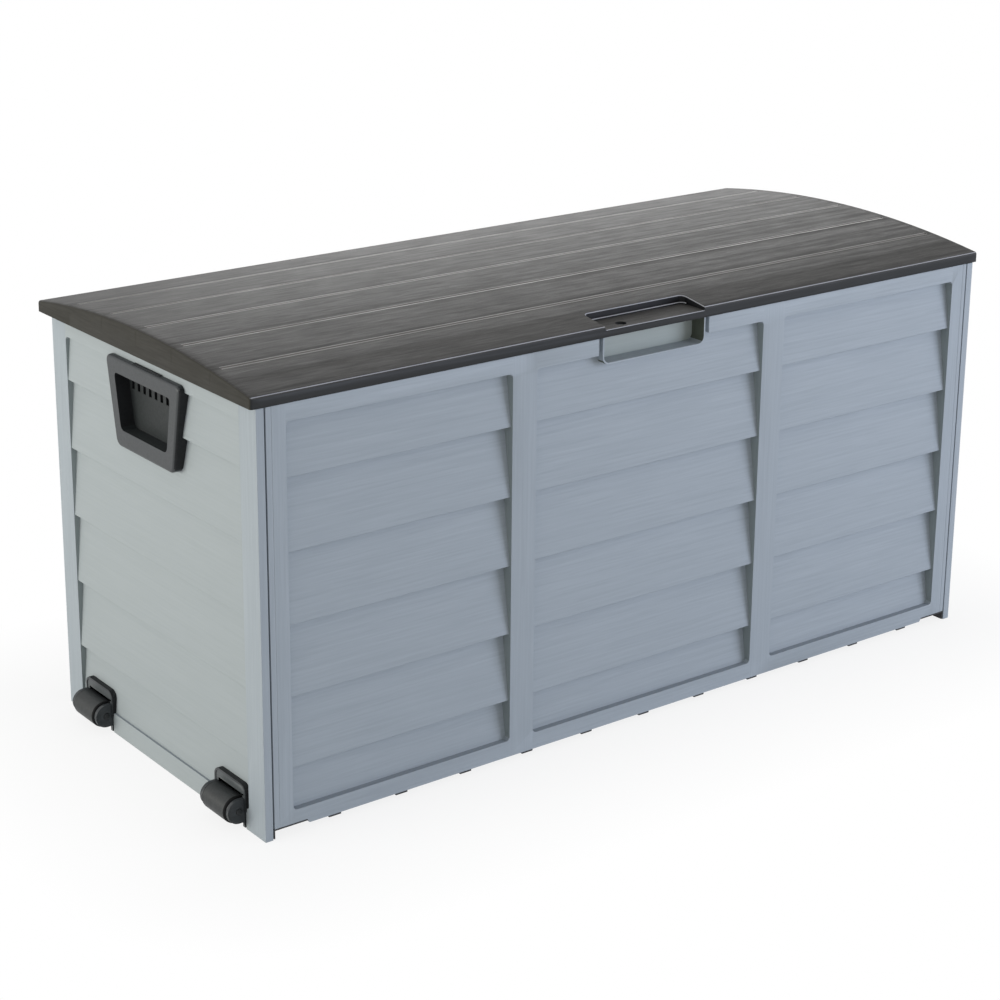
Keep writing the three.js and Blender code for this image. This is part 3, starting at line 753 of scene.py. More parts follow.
@dataclass
class Lid:
    """The crowned lid: six planks in one moulding, a tray with a padlock hole and hinge lugs.

    Attributes:
        half_length: Half of its length.
        half_depth: Half of its depth.
        rim: Lowest and highest z of its front face.
        crown: Highest z of the arch.
        crown_sides: Number of sides of the cylinder that the arch is cut from.
        edge: Rounding of its outer edges.
        soft: Rounding of all its other edges.
        planks: Number of planks.
        scoop: Radius of the grooves between planks.
        scoop_rise: How far above the crown a groove's middle lies.
        line_half: Half of the width that is polished along a joint.
        line_end: How far a joint stops short of the lid's ends.
        rib_half: Half of the thickness of the ribs below.
        rib_foot: Lowest z of the ribs under the joints.
        cross_ribs: Number of ribs that cross them at each side of the middle one.
        tray_half: Half of the tray's width.
        tray_depth: How far the tray reaches behind the front.
        tray_floor: The z of its floor.
        tray_ledge: Height and width of the ledge round the back of its floor.
        ledge_run: How far the ledge runs forward from the back at the tray's sides.
        tray_corners: Rounding of its outline at the crown and below the ledge.
        tray_edge: Rounding of its edges.
        hole: The x and y of the padlock hole.
        hole_radius: Its radius.
        lug_half: Half of a hinge lug's length.
        lug_room: Gap round the pin in a lug.
        tail: Lowest and highest z of a lug's tail, from the hinge's axis.
    """

    half_length: float = 560.0
    half_depth: float = 245.0
    rim: Span = (507.0, 520.0)
    crown: float = 540.0
    crown_sides: int = 1440
    edge: float = 3.0
    soft: float = 0.6
    planks: int = 6
    scoop: float = 1.7
    scoop_rise: float = 0.7
    line_half: float = 3.6
    line_end: float = 13.0
    rib_half: float = 1.25
    rib_foot: float = 518.0
    cross_ribs: int = 3
    tray_half: float = 77.5
    tray_depth: float = 42.0
    tray_floor: float = 516.0
    tray_ledge: float = 2.5
    ledge_run: float = 10.0
    tray_corners: Span = (7.0, 6.0)
    tray_edge: float = 1.3
    hole: Span = (-43.0, -231.0)
    hole_radius: float = 7.0
    lug_half: float = 12.5
    lug_room: float = 0.4
    tail: Span = (-9.0, 2.0)

    @property
    def arch_radius(self) -> float:
        """Radius of the crown."""
        rise = self.crown - self.rim[1]
        return (self.half_depth ** 2 + rise ** 2) / (2 * rise)

    def arch(self, y: float) -> float:
        """Height of the crown at a depth."""
        return self.crown - self.arch_radius + math.sqrt(self.arch_radius ** 2 - y * y)

    def joints(self) -> list[float]:
        """The y of each joint between two planks."""
        pitch = 2 * self.half_depth / self.planks
        return [pitch * step - self.half_depth for step in range(1, self.planks)]

    def crowned_slab(self, name: str, inset: float, bottom: float) -> bpy.types.Object:
        """Cuts a slab with the lid's crown from a wide cylinder.

        Args:
            name: The slab's name.
            inset: How far it stays inside the lid's outer face.
            bottom: Its lowest z.

        Returns:
            The slab.
        """
        reach = self.half_length - inset
        depth = self.half_depth - inset
        radius = self.arch_radius - inset
        middle = (0, self.crown - self.arch_radius)
        slab = rod(name, Axis.X, radius, (-reach, reach), middle, self.crown_sides)
        slice_off(slab, (0, 0, bottom), (0, 0, -1))
        slice_off(slab, (0, depth, 0), (0, 1, 0))
        slice_off(slab, (0, -depth, 0), (0, -1, 0))
        return slab

    def is_outer_edge(self, place: Vector, way: Vector) -> bool:
        """Whether an edge runs round the crown or down a corner.

        Args:
            place: Its middle.
            way: Its line; not used.

        Returns:
            Whether it does.
        """
        at_end = near(abs(place.x), self.half_length)
        at_side = near(abs(place.y), self.half_depth)
        on_crown = place.z > self.rim[1] - 0.1
        return (at_end and at_side) or (on_crown and (at_end or at_side))

    def on_outline(self, place: Vector, inset: float, corner: float) -> bool:
        """Whether a part lies on the tray's outline, or on one inside it.

        Args:
            place: Its middle.
            inset: How far the outline lies inside the tray's.
            corner: Rounding of the outline's corners.

        Returns:
            Whether it does.
        """
        back = self.tray_depth - self.half_depth
        across = max(abs(place.x) - (self.tray_half - inset - corner), 0)
        along = max(place.y - (back - inset - corner), 0)
        return near(math.hypot(across, along), corner, 0.3)

    def is_tray_edge(self, place: Vector, way: Vector) -> bool:
        """Whether an edge is the tray's outline in the crown, its ledge's edge or its front lip.

        Args:
            place: Its middle.
            way: Its line.

        Returns:
            Whether it is.
        """
        outer, inner = self.tray_corners
        if self.on_outline(place, 0, outer) and near(place.z, self.arch(place.y), 0.3):
            return True
        if self.on_outline(place, self.tray_ledge, inner) and abs(way.z) < 0.1:
            if near(place.z, self.tray_floor + self.tray_ledge, 0.1):
                return True
        at_front = near(place.y, -self.half_depth, 0.1) and abs(place.x) < self.tray_half
        return at_front and near(place.z, self.tray_floor, 0.1)

    def shell(self) -> bpy.types.Object:
        """Makes the lid's shell.

        Returns:
            The shell.
        """
        lid = self.crowned_slab("lid_shell", 0, self.rim[0])
        round_edges(lid, self.edge, 4, self.is_outer_edge)
        cut(lid, self.grooves(), self.hollow(), *self.recesses())
        round_edges(lid, self.tray_edge, 4, self.is_tray_edge)
        add(lid, *[self.lug(x) for x in HINGES])
        return soften(lid, self.soft)

    def grooves(self) -> bpy.types.Object:
        """The scoops between planks, which stop short of the lid's ends.

        Returns:
            The solid to cut away.
        """
        reach = self.half_length - self.line_end
        return weld("grooves", [
            rod("groove", Axis.X, self.scoop, (-reach, reach), (y, self.arch(y) + self.scoop_rise), 24)
            for y in self.joints()
        ])

    def hollow(self) -> bpy.types.Object:
        """The space inside the shell, less its ribs and the underside of the tray.

        Returns:
            The solid to cut away.
        """
        low = self.rib_foot
        thin = self.rib_half
        space = self.crowned_slab("hollow", SKIN, self.rim[0] - 10)
        along = [block("rib", (-FAR, FAR), (y - thin, y + thin), (low, ABOVE)) for y in self.joints()]
        pitch = self.half_length / (self.cross_ribs + 1)
        across = [
            block("rib", (pitch * i - thin, pitch * i + thin), (-BESIDE, BESIDE), (low + 1, ABOVE))
            for i in range(-self.cross_ribs, self.cross_ribs + 1)
        ]
        half = self.tray_half + SKIN
        back = self.tray_depth + SKIN - self.half_depth
        tray = block("tray", (-half, half), (-BESIDE, back), (self.tray_floor - SKIN, ABOVE))
        return cut(space, weld("ribs", along), weld("ribs", across), tray)

    def recesses(self) -> list[bpy.types.Object]:
        """The tray's ledge and floor, its open front and the padlock hole.

        Returns:
            The solids to cut away.
        """
        back = self.tray_depth - self.half_depth
        half = self.tray_half
        ledge = self.tray_ledge
        floor = self.tray_floor
        outer, inner = self.tray_corners
        return [
            soft_block("step", (-half, half), (-BESIDE, back), (floor + ledge, ABOVE), Axis.Z, outer),
            soft_block("step", (ledge - half, half - ledge), (-BESIDE, back - ledge), (floor, ABOVE),
                       Axis.Z, inner),
            block("step", (-half, half), (-BESIDE, back - self.ledge_run), (floor, ABOVE)),
            rod("hole", Axis.Z, self.hole_radius, (self.rim[0], ABOVE), self.hole, 40),
        ]

    def lug(self, x: float) -> bpy.types.Object:
        """The lug that turns on a hinge pin, with a tail that stops the lid.

        Args:
            x: Where its middle lies.

        Returns:
            The lug.
        """
        y, z = HINGE_AXIS
        rear = self.half_depth - FIT
        ends = (x - self.lug_half, x + self.lug_half)
        barrel = rod("lug", Axis.X, KNUCKLE, ends, HINGE_AXIS)
        tail = block("tail", ends, (y, rear), (z + self.tail[0], z + self.tail[1]))
        neck = block("neck", ends, (y - KNUCKLE, rear), (z, self.rim[1] - 1))
        bore = rod("bore", Axis.X, PIN + self.lug_room, (x - 14, x + 14), HINGE_AXIS)
        return cut(add(barrel, tail, neck), bore)

    def is_side(self, place: Vector, normal: Vector) -> bool:
        """Whether a face is upright or faces down."""
        return normal.z < 0.35

    def is_end(self, place: Vector, normal: Vector) -> bool:
        """Whether a face is an end of the lid."""
        return abs(normal.x) > 0.8 and abs(place.x) > self.half_length - 1

    def on_joint(self, place: Vector, normal: Vector) -> bool:
        """Whether a face is a side of a groove between planks or the plank's edge beside it.

        Args:
            place: Its middle.
            normal: Its normal.

        Returns:
            Whether it is.
        """
        between = any(abs(place.y - y) < self.line_half for y in self.joints())
        on_top = normal.z > 0.1 and self.arch(place.y) - 1.6 < place.z
        return between and on_top and abs(place.x) < self.half_length - self.line_end

    def in_tray_wall(self, place: Vector, normal: Vector) -> bool:
        """Whether a face is one of the tray's upright walls."""
        behind_rim = 1 < place.y + self.half_depth < self.tray_depth + 1 and place.z > self.tray_floor
        return behind_rim and abs(place.x) < self.tray_half + 1 and normal.z < 0.45

    def on_highlit_edge(self, place: Vector, normal: Vector) -> bool:
        """Whether a face is on the front's upper edge or an edge of the tray, where a highlight is
        painted.

        Args:
            place: Its middle.
            normal: Its normal.

        Returns:
            Whether it is.
        """
        margin = 1.5
        from_front = place.y + self.half_depth
        by_tray = abs(place.x) < self.tray_half + margin and from_front < self.tray_depth + margin
        if by_tray and place.z > self.tray_floor - margin:
            return 0.4 < normal.z < 0.9
        return from_front < 2.5 and place.z > self.rim[1] - 4 and 0.7 < normal.z < 0.9

    def build(self) -> None:
        """Makes, dresses and seats the lid."""
        lid = self.shell()
        with editing(lid):
            for y in self.joints():
                for side in SIDES:
                    split((0, y + side * self.line_half, 0), (0, 1, 0))
            for side in SIDES:
                split((side * (self.half_length - self.line_end), 0, 0), (1, 0, 0))
        dress(lid, Finish.LID_TOP)
        # Painted shade on every upright or downward face of the lid.
        dress_where(lid, Finish.LID_RIM, self.is_side)
        # Painted highlight along the joints between planks.
        dress_where(lid, Finish.LID_LINE, self.on_joint)
        # Painted shade on the lid's ends.
        dress_where(lid, Finish.LID_END, self.is_end)
        # Painted highlight on the tilted edges at the front and round the tray.
        dress_where(lid, Finish.LID_EDGE, self.on_highlit_edge)
        # Painted shade on the tray's upright walls.
        dress_where(lid, Finish.LID_WELL, self.in_tray_wall)
        seat(lid, Spot(), "lid", "lid_grey", "lid")


# ---------------------------------------------------------------- walls


@dataclass
class LapWall:
    """A moulded wall: a frame of stiles and rails round bays of overlapping lap boards.

    Attributes:
        name: What its pieces' names start with.
        node: The solid that it stands for.
        spot: Where its own frame lies in the box.
        half: Half of its length.
        foot: Its lowest z.
        sill: Where the bays start.
        bay_top: Where they end.
        bays: The two ends of each bay.
        top_lap: Foot of the highest board.
        pitch: Height of a board that shows.
        proud: Depth of a board's foot behind the wall's face.
        deep: Depth of its top.
        top: The wall's highest z.
        thick: Its thickness.
        corner: Rounding of the bays' corners.
        edge: Rounding of the frame's edges.
        board_edge: Rounding along the foot of a board's face.
        cell: About how far apart the ribs behind a bay stand.
        stile_ribs: The z of the ribs in the stiles.
        lip_rise: Height of the weather lip on its top.
        board_finish: Finish of its boards and rails.
    """

    name: str
    node: str
    spot: Spot
    half: float
    foot: float
    sill: float
    bay_top: float
    bays: tuple[Span, ...]
    top_lap: float
    pitch: float
    proud: float
    deep: float
    top: float = 506.4
    thick: float = 22.0
    corner: float = 5.0
    edge: float = 0.8
    board_edge: float = 1.2
    cell: float = 100.0
    stile_ribs: tuple[float, ...] = (110.0, 250.0, 390.0)
    lip_rise: float = 4.6
    board_finish: Finish = Finish.BOARD

    def cells(self, bay: Span) -> list[float]:
        """The x of each upright rib behind a bay."""
        count = round((bay[1] - bay[0]) / self.cell)
        return [bay[0] + (bay[1] - bay[0]) * i / count for i in range(1, count)]

    def bay_ends(self) -> list[float]:
        """The x of both ends of each bay."""
        return [x for bay in self.bays for x in bay]

    def stiles(self) -> list[Span]:
        """The two sides of each stile."""
        edges = [-self.half, *self.bay_ends(), self.half]
        return list(zip(edges[::2], edges[1::2]))

    def openings(self, grow: float, y: Span) -> bpy.types.Object:
        """One solid for each bay, as large as the bay or larger.

        Args:
            grow: How far it stands out round the bay.
            y: Its front and back.

        Returns:
            The solids as one piece.
        """
        height = (self.sill - grow, self.bay_top + grow)
        return weld("bays", [
            soft_block("bay", (low - grow, high + grow), y, height, Axis.Y, self.corner + grow)
            for low, high in self.bays
        ])

    def ribs(self) -> bpy.types.Object:
        """Upright ribs over the bays and level ribs in the stiles.

        Returns:
            The ribs as one piece.
        """
        half = RIB / 2
        depth = (0, self.thick + 3)
        upright = [
            block("rib", (x - half, x + half), depth, (-5, self.top + 5))
            for bay in self.bays
            for x in self.cells(bay)
        ]
        level = [
            block("rib", (low - OVER, high + OVER), depth, (z - half, z + half))
            for low, high in self.stiles()
            for z in self.stile_ribs
        ]
        return weld("ribs", upright + level)

    def hollow(self, reach: float) -> bpy.types.Object:
        """The open back of the frame.

        Args:
            reach: How far it runs to each side of the middle.

        Returns:
            The solid to cut away.
        """
        depth = (SKIN, self.thick + OVER)
        space = block("hollow", (-reach, reach), depth, (self.foot + SKIN, self.top - SKIN))
        return cut(space, self.openings(SKIN, (0, self.thick + 2)), self.ribs())

    def frame(self, reach: float, *rebates: bpy.types.Object) -> bpy.types.Object:
        """Stiles and rails in one moulding, open at the back.

        Args:
            reach: How far the open back runs to each side of the middle.
            *rebates: More solids to cut away.

        Returns:
            The frame.
        """
        x = (-self.half, self.half)
        slab = block(f"{self.name}_frame", x, (0, self.thick), (self.foot, self.top))
        bays = self.openings(0, (-OVER, self.thick + OVER))
        return cut(slab, self.hollow(reach), *rebates, bays)

    def lip(self, low: float, high: float) -> bpy.types.Object:
        """A thin upstand that keeps rain out, along part of the top edge."""
        return block("lip", (low, high), (8, 11), (self.top - OVER, self.top + self.lip_rise))

    def board(self, bay: Span) -> bpy.types.Object:
        """One lap board with its foot at z = 0, hollow between ribs at the back.

        Args:
            bay: The bay's two ends.

        Returns:
            The board.
        """
        back = self.deep + SKIN
        lean = self.deep - self.proud
        dip = 0.5
        board = block("board", (bay[0] - OVER, bay[1] + OVER), (self.proud, back), (0, self.pitch))
        drag(board, at(y=self.proud, z=self.pitch), y=lean)
        with editing(board):
            for x in self.cells(bay):
                split((x, 0, 0), (1, 0, 0))
            pick(board, Pick.FACE, lambda place, normal: normal.y > 0.9)
            bpy.ops.mesh.inset(thickness=RIB / 2 * MM, use_individual=True)
            bpy.ops.mesh.extrude_region_move(TRANSFORM_OT_translate={"value": (0, -dip * MM, 0)})
        # The foot of each hollow follows the front outward, so that the skin stays even.
        drag(board, at(y=back - dip, z=RIB / 2), y=1 - lean, z=SKIN - RIB / 2)
        round_edges(board, self.board_edge, 3, at(y=self.proud, z=0))
        return board

    def boards(self, bay: Span, name: str) -> bpy.types.Object:
        """All the boards of a bay, cut off behind its sill and head.

        Args:
            bay: The bay's two ends.
            name: The piece's name.

        Returns:
            The boards as one piece.
        """
        pattern = self.board(bay)
        rows = []
        foot = self.top_lap - self.pitch * math.ceil((self.top_lap - self.sill) / self.pitch)
        while foot < self.bay_top:
            row = duplicate(pattern, "row", foot)
            if foot < self.sill - SKIN:
                slice_off(row, (0, 0, self.sill - SKIN), (0, 0, -1))
            if foot + self.pitch > self.bay_top + SKIN:
                slice_off(row, (0, 0, self.bay_top + SKIN), (0, 0, 1))
            rows.append(row)
            foot += self.pitch
        bpy.data.objects.remove(pattern)
        return shade(weld(name, rows))

    def in_stile(self, place: Vector, normal: Vector) -> bool:
        """Whether a face lies between the sides of a stile."""
        return any(low < place.x < high for low, high in self.stiles())

    def on_sill(self, place: Vector, normal: Vector) -> bool:
        """Whether a face is the upper side of a bay's sill."""
        return normal.z > 0.7 and near(place.z, self.sill, 0.3) and place.y > 1

    def on_bay_end(self, place: Vector, normal: Vector) -> bool:
        """Whether a face is an upright side of a bay."""
        by_end = any(near(place.x, x, 0.3) for x in self.bay_ends())
        return by_end and abs(normal.x) > 0.8 and place.y > 1

    def dress_frame(self, frame_piece: bpy.types.Object) -> None:
        """Splits the frame's faces along its stiles and dresses it.

        Args:
            frame_piece: The frame.
        """
        with editing(frame_piece):
            for x in self.bay_ends():
                split((x, 0, 0), (1, 0, 0))
        dress(frame_piece, self.board_finish)
        dress_where(frame_piece, Finish.STILE, self.in_stile)
        # Painted shade along the top of each sill.
        dress_where(frame_piece, Finish.CREASE, self.on_sill)
        # Painted shade on the bays' upright sides.
        dress_where(frame_piece, Finish.RECESS, self.on_bay_end)

    def seat_all(self, *pieces: bpy.types.Object) -> None:
        """Seats the wall's pieces.

        Args:
            *pieces: The frame and the boards.
        """
        for piece in pieces:
            seat(piece, self.spot, "box", "wall_grey", self.node)


@dataclass
class Pocket:
    """The hand pocket in the front wall's top rail, a thin-rimmed housing between two gaps.

    Attributes:
        half: Half of its width.
        floor: Its lowest z.
        depth: How far it goes in.
        rim: Thickness of its rim.
        corner: Rounding of its lower corners.
        gap: Width of the gap between the rim and the rail.
        gap_depth: Depth of that gap.
        bite: How far the boards beside it reach into its rim.
        lip_gap: How far the wall's weather lip stops short of the pocket.
    """

    half: float = 78.0
    floor: float = 475.0
    depth: float = 22.0
    rim: float = 2.0
    corner: float = 8.0
    gap: float = 6.0
    gap_depth: float = 6.0
    bite: float = 0.2
    lip_gap: float = 12.0

    def solid(self, name: str, grow: float, y: Span) -> bpy.types.Object:
        """The pocket's space, or a larger solid round it.

        Args:
            name: The solid's name.
            grow: How far it stands out round the space.
            y: Its front and back.

        Returns:
            The solid.
        """
        half = self.half + grow
        height = (self.floor - grow, self.floor + 90)
        return soft_block(name, (-half, half), y, height, Axis.Y, self.corner + grow, 6)

    def house(self, frame_piece: bpy.types.Object, foot: float, top: float) -> None:
        """Adds the housing to the wall's frame, with a gap at each side.

        Args:
            frame_piece: The frame.
            foot: The lowest z of the rail.
            top: Its highest z.
        """
        inner = self.half + self.rim
        outer = inner + self.gap
        housing = self.solid("housing", self.rim, (0, self.depth + SKIN))
        slice_off(housing, (0, 0, top), (0, 0, 1))
        for side in SIDES:
            x = on_side(side, inner - 1, outer + 2)
            add(frame_piece, block("collar", x, (0.5, self.gap_depth + RIB), (foot, top - 0.5)))
        add(frame_piece, housing)
        cut(frame_piece, self.solid("pocket", 0, (-2, self.depth)))
        for side in SIDES:
            x = on_side(side, inner, outer)
            cut(frame_piece, block("gap", x, (-OVER, self.gap_depth), (foot - 1, top + 1)))

    def at_back(self, place: Vector, normal: Vector) -> bool:
        """Whether a face of the wall is the back of the pocket."""
        return abs(place.x) < self.half and place.z > self.floor and near(place.y, self.depth, 0.3)

    def at_end(self, place: Vector, normal: Vector) -> bool:
        """Whether a face of the wall is one of the pocket's two ends."""
        inside = 0.8 < place.y < self.depth and place.z > self.floor
        return inside and abs(normal.x) > 0.6 and 0 < self.half + 0.4 - abs(place.x) < 3


@dataclass
class LongWall(LapWall):
    """A front or back wall, with a raised lower edge near its corners.

    Attributes:
        pocket: The hand pocket, or nothing.
        step_x: Where the raised part of the lower edge starts.
        step: How far it is raised.
        slope: Length of the slope up to it.
        bead: How far the fine groove down each end stile stands from the end.
        bead_radius: Radius of that groove.
        lip_end: How far the weather lip stops short of each end.
    """

    half: float = 541.0
    foot: float = 8.0
    sill: float = 29.0
    bay_top: float = 486.0
    bays: tuple[Span, ...] = ((-516.0, -212.0), (-177.0, 177.0), (212.0, 516.0))
    top_lap: float = 421.5
    pitch: float = 85.4
    proud: float = 3.0
    deep: float = 16.0
    pocket: Pocket | None = None
    step_x: float = 490.0
    step: float = 5.0
    slope: float = 8.0
    bead: float = 6.5
    bead_radius: float = 0.9
    lip_end: float = 2.0

    def notch(self, side: int) -> bpy.types.Object:
        """The cutter that raises the lower edge at one end.

        Args:
            side: -1 or 1.

        Returns:
            The solid to cut away.
        """
        x = on_side(side, self.step_x, self.half + OVER)
        raised = self.foot + self.step
        notch = block("notch", x, (-OVER, self.thick + OVER), (0, raised))
        drag(notch, at(x=side * self.step_x, z=raised), x=side * self.slope)
        return notch

    def hollow(self, reach: float) -> bpy.types.Object:
        """The open back, with a floor left above each notch.

        Args:
            reach: How far it runs to each side of the middle.

        Returns:
            The solid to cut away.
        """
        height = (0, self.foot + self.step + SKIN)
        floors = [block("floor", on_side(side, self.step_x, FAR), (0, 40), height) for side in SIDES]
        return cut(super().hollow(reach), weld("floors", floors))

    def bead_grooves(self) -> bpy.types.Object:
        """The fine groove down each end stile.

        Returns:
            The solid to cut away.
        """
        height = (self.foot - 2, self.top + 2)
        return weld("beads", [
            rod("bead", Axis.Z, self.bead_radius, height, (side * (self.half - self.bead), -0.5), 12)
            for side in SIDES
        ])

    def lips(self) -> list[bpy.types.Object]:
        """The weather lip, which is left out at the pocket.

        Returns:
            Its one or two lengths.
        """
        end = self.half - self.lip_end
        if not self.pocket:
            return [self.lip(-end, end)]
        start = self.pocket.half + self.pocket.lip_gap
        return [self.lip(-end, -start), self.lip(start, end)]

    def build(self) -> None:
        """Makes, dresses and seats the wall."""
        frame_piece = self.frame(self.half - SKIN)
        cut(frame_piece, self.notch(-1), self.notch(1), self.bead_grooves())
        if self.pocket:
            self.pocket.house(frame_piece, self.bay_top, self.top)
        add(frame_piece, weld("lips", self.lips()))
        self.dress_frame(soften(frame_piece, self.edge))
        if self.pocket:
            # Painted light on the back of the pocket.
            dress_where(frame_piece, Finish.POCKET, self.pocket.at_back)
            # Painted shade on the ends of the pocket.
            dress_where(frame_piece, Finish.POCKET_SIDE, self.pocket.at_end)
        pieces = [frame_piece]
        for i, bay in enumerate(self.bays, 1):
            boards = self.boards(bay, f"{self.name}_boards_{i}")
            if self.pocket and bay[0] < 0 < bay[1]:
                grow = self.pocket.rim - self.pocket.bite
                cut(boards, self.pocket.solid("clear", grow, (-2, CLEAR)))
            dress(boards, self.board_finish)
            pieces.append(boards)
        self.seat_all(*pieces)


@dataclass(frozen=True)
class Taper:
    """An outline that narrows towards its foot, with rounded corners.

    Attributes:
        top: Its highest z.
        top_half: Half of its width there.
        foot: Its lowest z.
        foot_half: Half of its width there.
        corner: Rounding of its corners.
    """

    top: float
    top_half: float
    foot: float
    foot_half: float
    corner: float

    def plate(self, name: str, y: Span, grow: float = 0.0) -> bpy.types.Object:
        """A plate with this outline.

        Args:
            name: The plate's name.
            y: Its front and back.
            grow: How far it stands out round the outline.

        Returns:
            The plate.
        """
        foot = self.foot - grow
        top_half = self.top_half + grow
        plate = block(name, (-top_half, top_half), y, (foot, self.top + grow))
        with editing(plate):
            pick(plate, Pick.VERT, at(z=foot))
            share = (self.foot_half + grow) / top_half
            bpy.ops.transform.resize(value=(share, 1, 1), center_override=(0, 0, foot * MM))
        round_along(plate, Axis.Y, self.corner + grow, 6)
        return plate


FINGER_CUP = Taper(top=477.0, top_half=64.5, foot=410.0, foot_half=53.0, corner=6.0)


@dataclass
class EndWall(LapWall):
    """An end wall with the corner posts, a handle opening and, at one end, roller openings.

    Attributes:
        post_face: Thickness of a post, which shows as a strip on the front and back.
        cup_room: How far the handle's opening stands out round the finger cup.
        rollers: The x of each roller housing.
        well_half: Half of the width of a housing's opening.
        well_top: Its highest z.
        surround_half: Half of the width of the solid part round it.
        surround_top: That part's highest z.
    """

    half: float = (REAR - FRONT) / 2
    foot: float = 0.0
    sill: float = 26.0
    bay_top: float = 487.0
    bays: tuple[Span, ...] = ((-199.5, 198.5),)
    top_lap: float = 432.0
    pitch: float = 86.0
    proud: float = 1.0
    deep: float = 8.0
    board_finish: Finish = Finish.END_BOARD
    post_face: float = 10.0
    cup_room: float = 3.6
    rollers: tuple[float, ...] = ()
    well_half: float = 31.5
    well_top: float = 50.5
    surround_half: float = 40.0
    surround_top: float = 60.0

    def behind_lap(self, step: int) -> bpy.types.Object:
        """The solid from the face of one lap inward, which frees a moulding that lies on it.

        Args:
            step: How many laps it lies below the highest.

        Returns:
            The solid to cut away.
        """
        face = self.proud - FIT
        foot = self.top_lap - self.pitch * step
        wedge = block("wedge", ACROSS, (face, CLEAR), (foot, foot + self.pitch))
        drag(wedge, at(y=face, z=foot + self.pitch), y=self.deep - self.proud)
        return wedge

    def well(self, x: float) -> bpy.types.Object:
        """The opening for one roller housing."""
        return block("well", (x - self.well_half, x + self.well_half), (-5, CLEAR), (-1, self.well_top))

    def surround(self, x: float) -> bpy.types.Object:
        """The solid part round one roller housing."""
        ends = (x - self.surround_half, x + self.surround_half)
        return block("surround", ends, (6, self.thick), (0, self.surround_top))

    def end_frame(self) -> bpy.types.Object:
        """The frame with rebates for the long walls and solid posts.

        Returns:
            The frame.
        """
        inner = self.half - self.thick - FIT
        rebates = [
            block("rebate", on_side(side, inner, BESIDE), (self.post_face, CLEAR), (-5, FAR))
            for side in SIDES
        ]
        frame_piece = self.frame(inner - SKIN, weld("rebates", rebates))
        add(frame_piece, *[self.surround(x) for x in self.rollers])
        cut(frame_piece, *[self.well(x) for x in self.rollers])
        return add(frame_piece, self.lip(3 - inner, inner - 3))

    def build(self) -> None:
        """Makes, dresses and seats the wall."""
        frame_piece = soften(self.end_frame(), self.edge)
        self.dress_frame(frame_piece)
        boards = self.boards(self.bays[0], f"{self.name}_boards")
        cut(boards, FINGER_CUP.plate("opening", (-10, CLEAR), self.cup_room))
        cut(boards, *[self.well(x) for x in self.rollers])
        dress(boards, self.board_finish)
        self.seat_all(frame_piece, boards)


# ---------------------------------------------------------------- handles


@dataclass
class Handle:
    """A hollow moulded handle: a plate with rounded edges round a slotted finger cup.

    Attributes:
        outline: The plate's outline.
        proud: How far it stands out from the wall.
        face_edge: Rounding of the plate's outer edge.
        edge: Rounding of its other edges.
        cup_depth: Depth of the cup from the plate's face.
        slot_count: Number of slots in the back of the cup.
        slot_pitch: Their spacing.
        slot_half: Half of a slot's width.
        slot_height: Its lowest and highest z.
        ridge: The two ends of the thin ridge on the plate's top.
    """

    outline: Taper = Taper(top=495.0, top_half=86.0, foot=388.0, foot_half=66.0, corner=9.0)
    proud: float = 8.0
    face_edge: float = 4.0
    edge: float = 0.7
    cup_depth: float = 18.0
    slot_count: int = 9
    slot_pitch: float = 13.2
    slot_half: float = 3.0
    slot_height: Span = (456.0, 474.0)
    ridge: Span = (-26.0, 36.0)

    def solid(self, wall: EndWall) -> bpy.types.Object:
        """Makes the handle in the wall's frame.

        Args:
            wall: The wall that it lies on.

        Returns:
            The handle.
        """
        top = self.outline.top
        back = self.cup_depth - self.proud
        handle = self.outline.plate("handle", (-self.proud, 12))
        round_edges(handle, self.face_edge, 4, at(y=-self.proud))
        rail = block("rail", ACROSS, (-FIT, CLEAR), (wall.bay_top, ABOVE))
        cut(handle, rail, wall.behind_lap(0), wall.behind_lap(1))
        cup = FINGER_CUP.plate("cup", (2 - self.proud, back + RIB), RIB)
        ridge = block("ridge", self.ridge, (-4, -0.6), (top - 2, top + 1))
        add(handle, cup, ridge)
        cut(handle, FINGER_CUP.plate("space", (-self.proud - 2, back)), self.slots(back))
        return soften(handle, self.edge)

    def slots(self, back: float) -> bpy.types.Object:
        """The row of upright slots in the back of the cup.

        Args:
            back: The y of the cup's back.

        Returns:
            The solid to cut away.
        """
        first = -(self.slot_count - 1) / 2
        half = self.slot_half
        middles = [self.slot_pitch * (first + i) for i in range(self.slot_count)]
        return weld("slots", [
            block("slot", (x - half, x + half), (back - 2, back + 9), self.slot_height)
            for x in middles
        ])

    def in_cup(self, place: Vector, normal: Vector) -> bool:
        """Whether a face is inside the finger cup."""
        between = FINGER_CUP.foot - 0.5 < place.z < FINGER_CUP.top + 0.5
        return between and place.y > 2.5 - self.proud and abs(place.x) < FINGER_CUP.top_half

    def is_side(self, place: Vector, normal: Vector) -> bool:
        """Whether a face is a side of the plate or the ridge on its top."""
        return abs(normal.x) > 0.75 or place.z > self.outline.top + 0.3

    def build(self, place: str, wall: EndWall) -> None:
        """Makes, dresses and seats one handle.

        Args:
            place: What its node's name starts with.
            wall: The wall that it lies on.
        """
        handle = self.solid(wall)
        handle.name = f"{place}_handle_grip"
        dress(handle, Finish.CHARCOAL)
        # Painted shade inside the finger cup.
        dress_where(handle, Finish.CUP, self.in_cup)
        # Painted shade on the handle's sides and on the top of its ridge.
        dress_where(handle, Finish.SHADED, self.is_side)
        seat(handle, wall.spot, "box", "charcoal", f"{place}_handle")


# ---------------------------------------------------------------- rollers


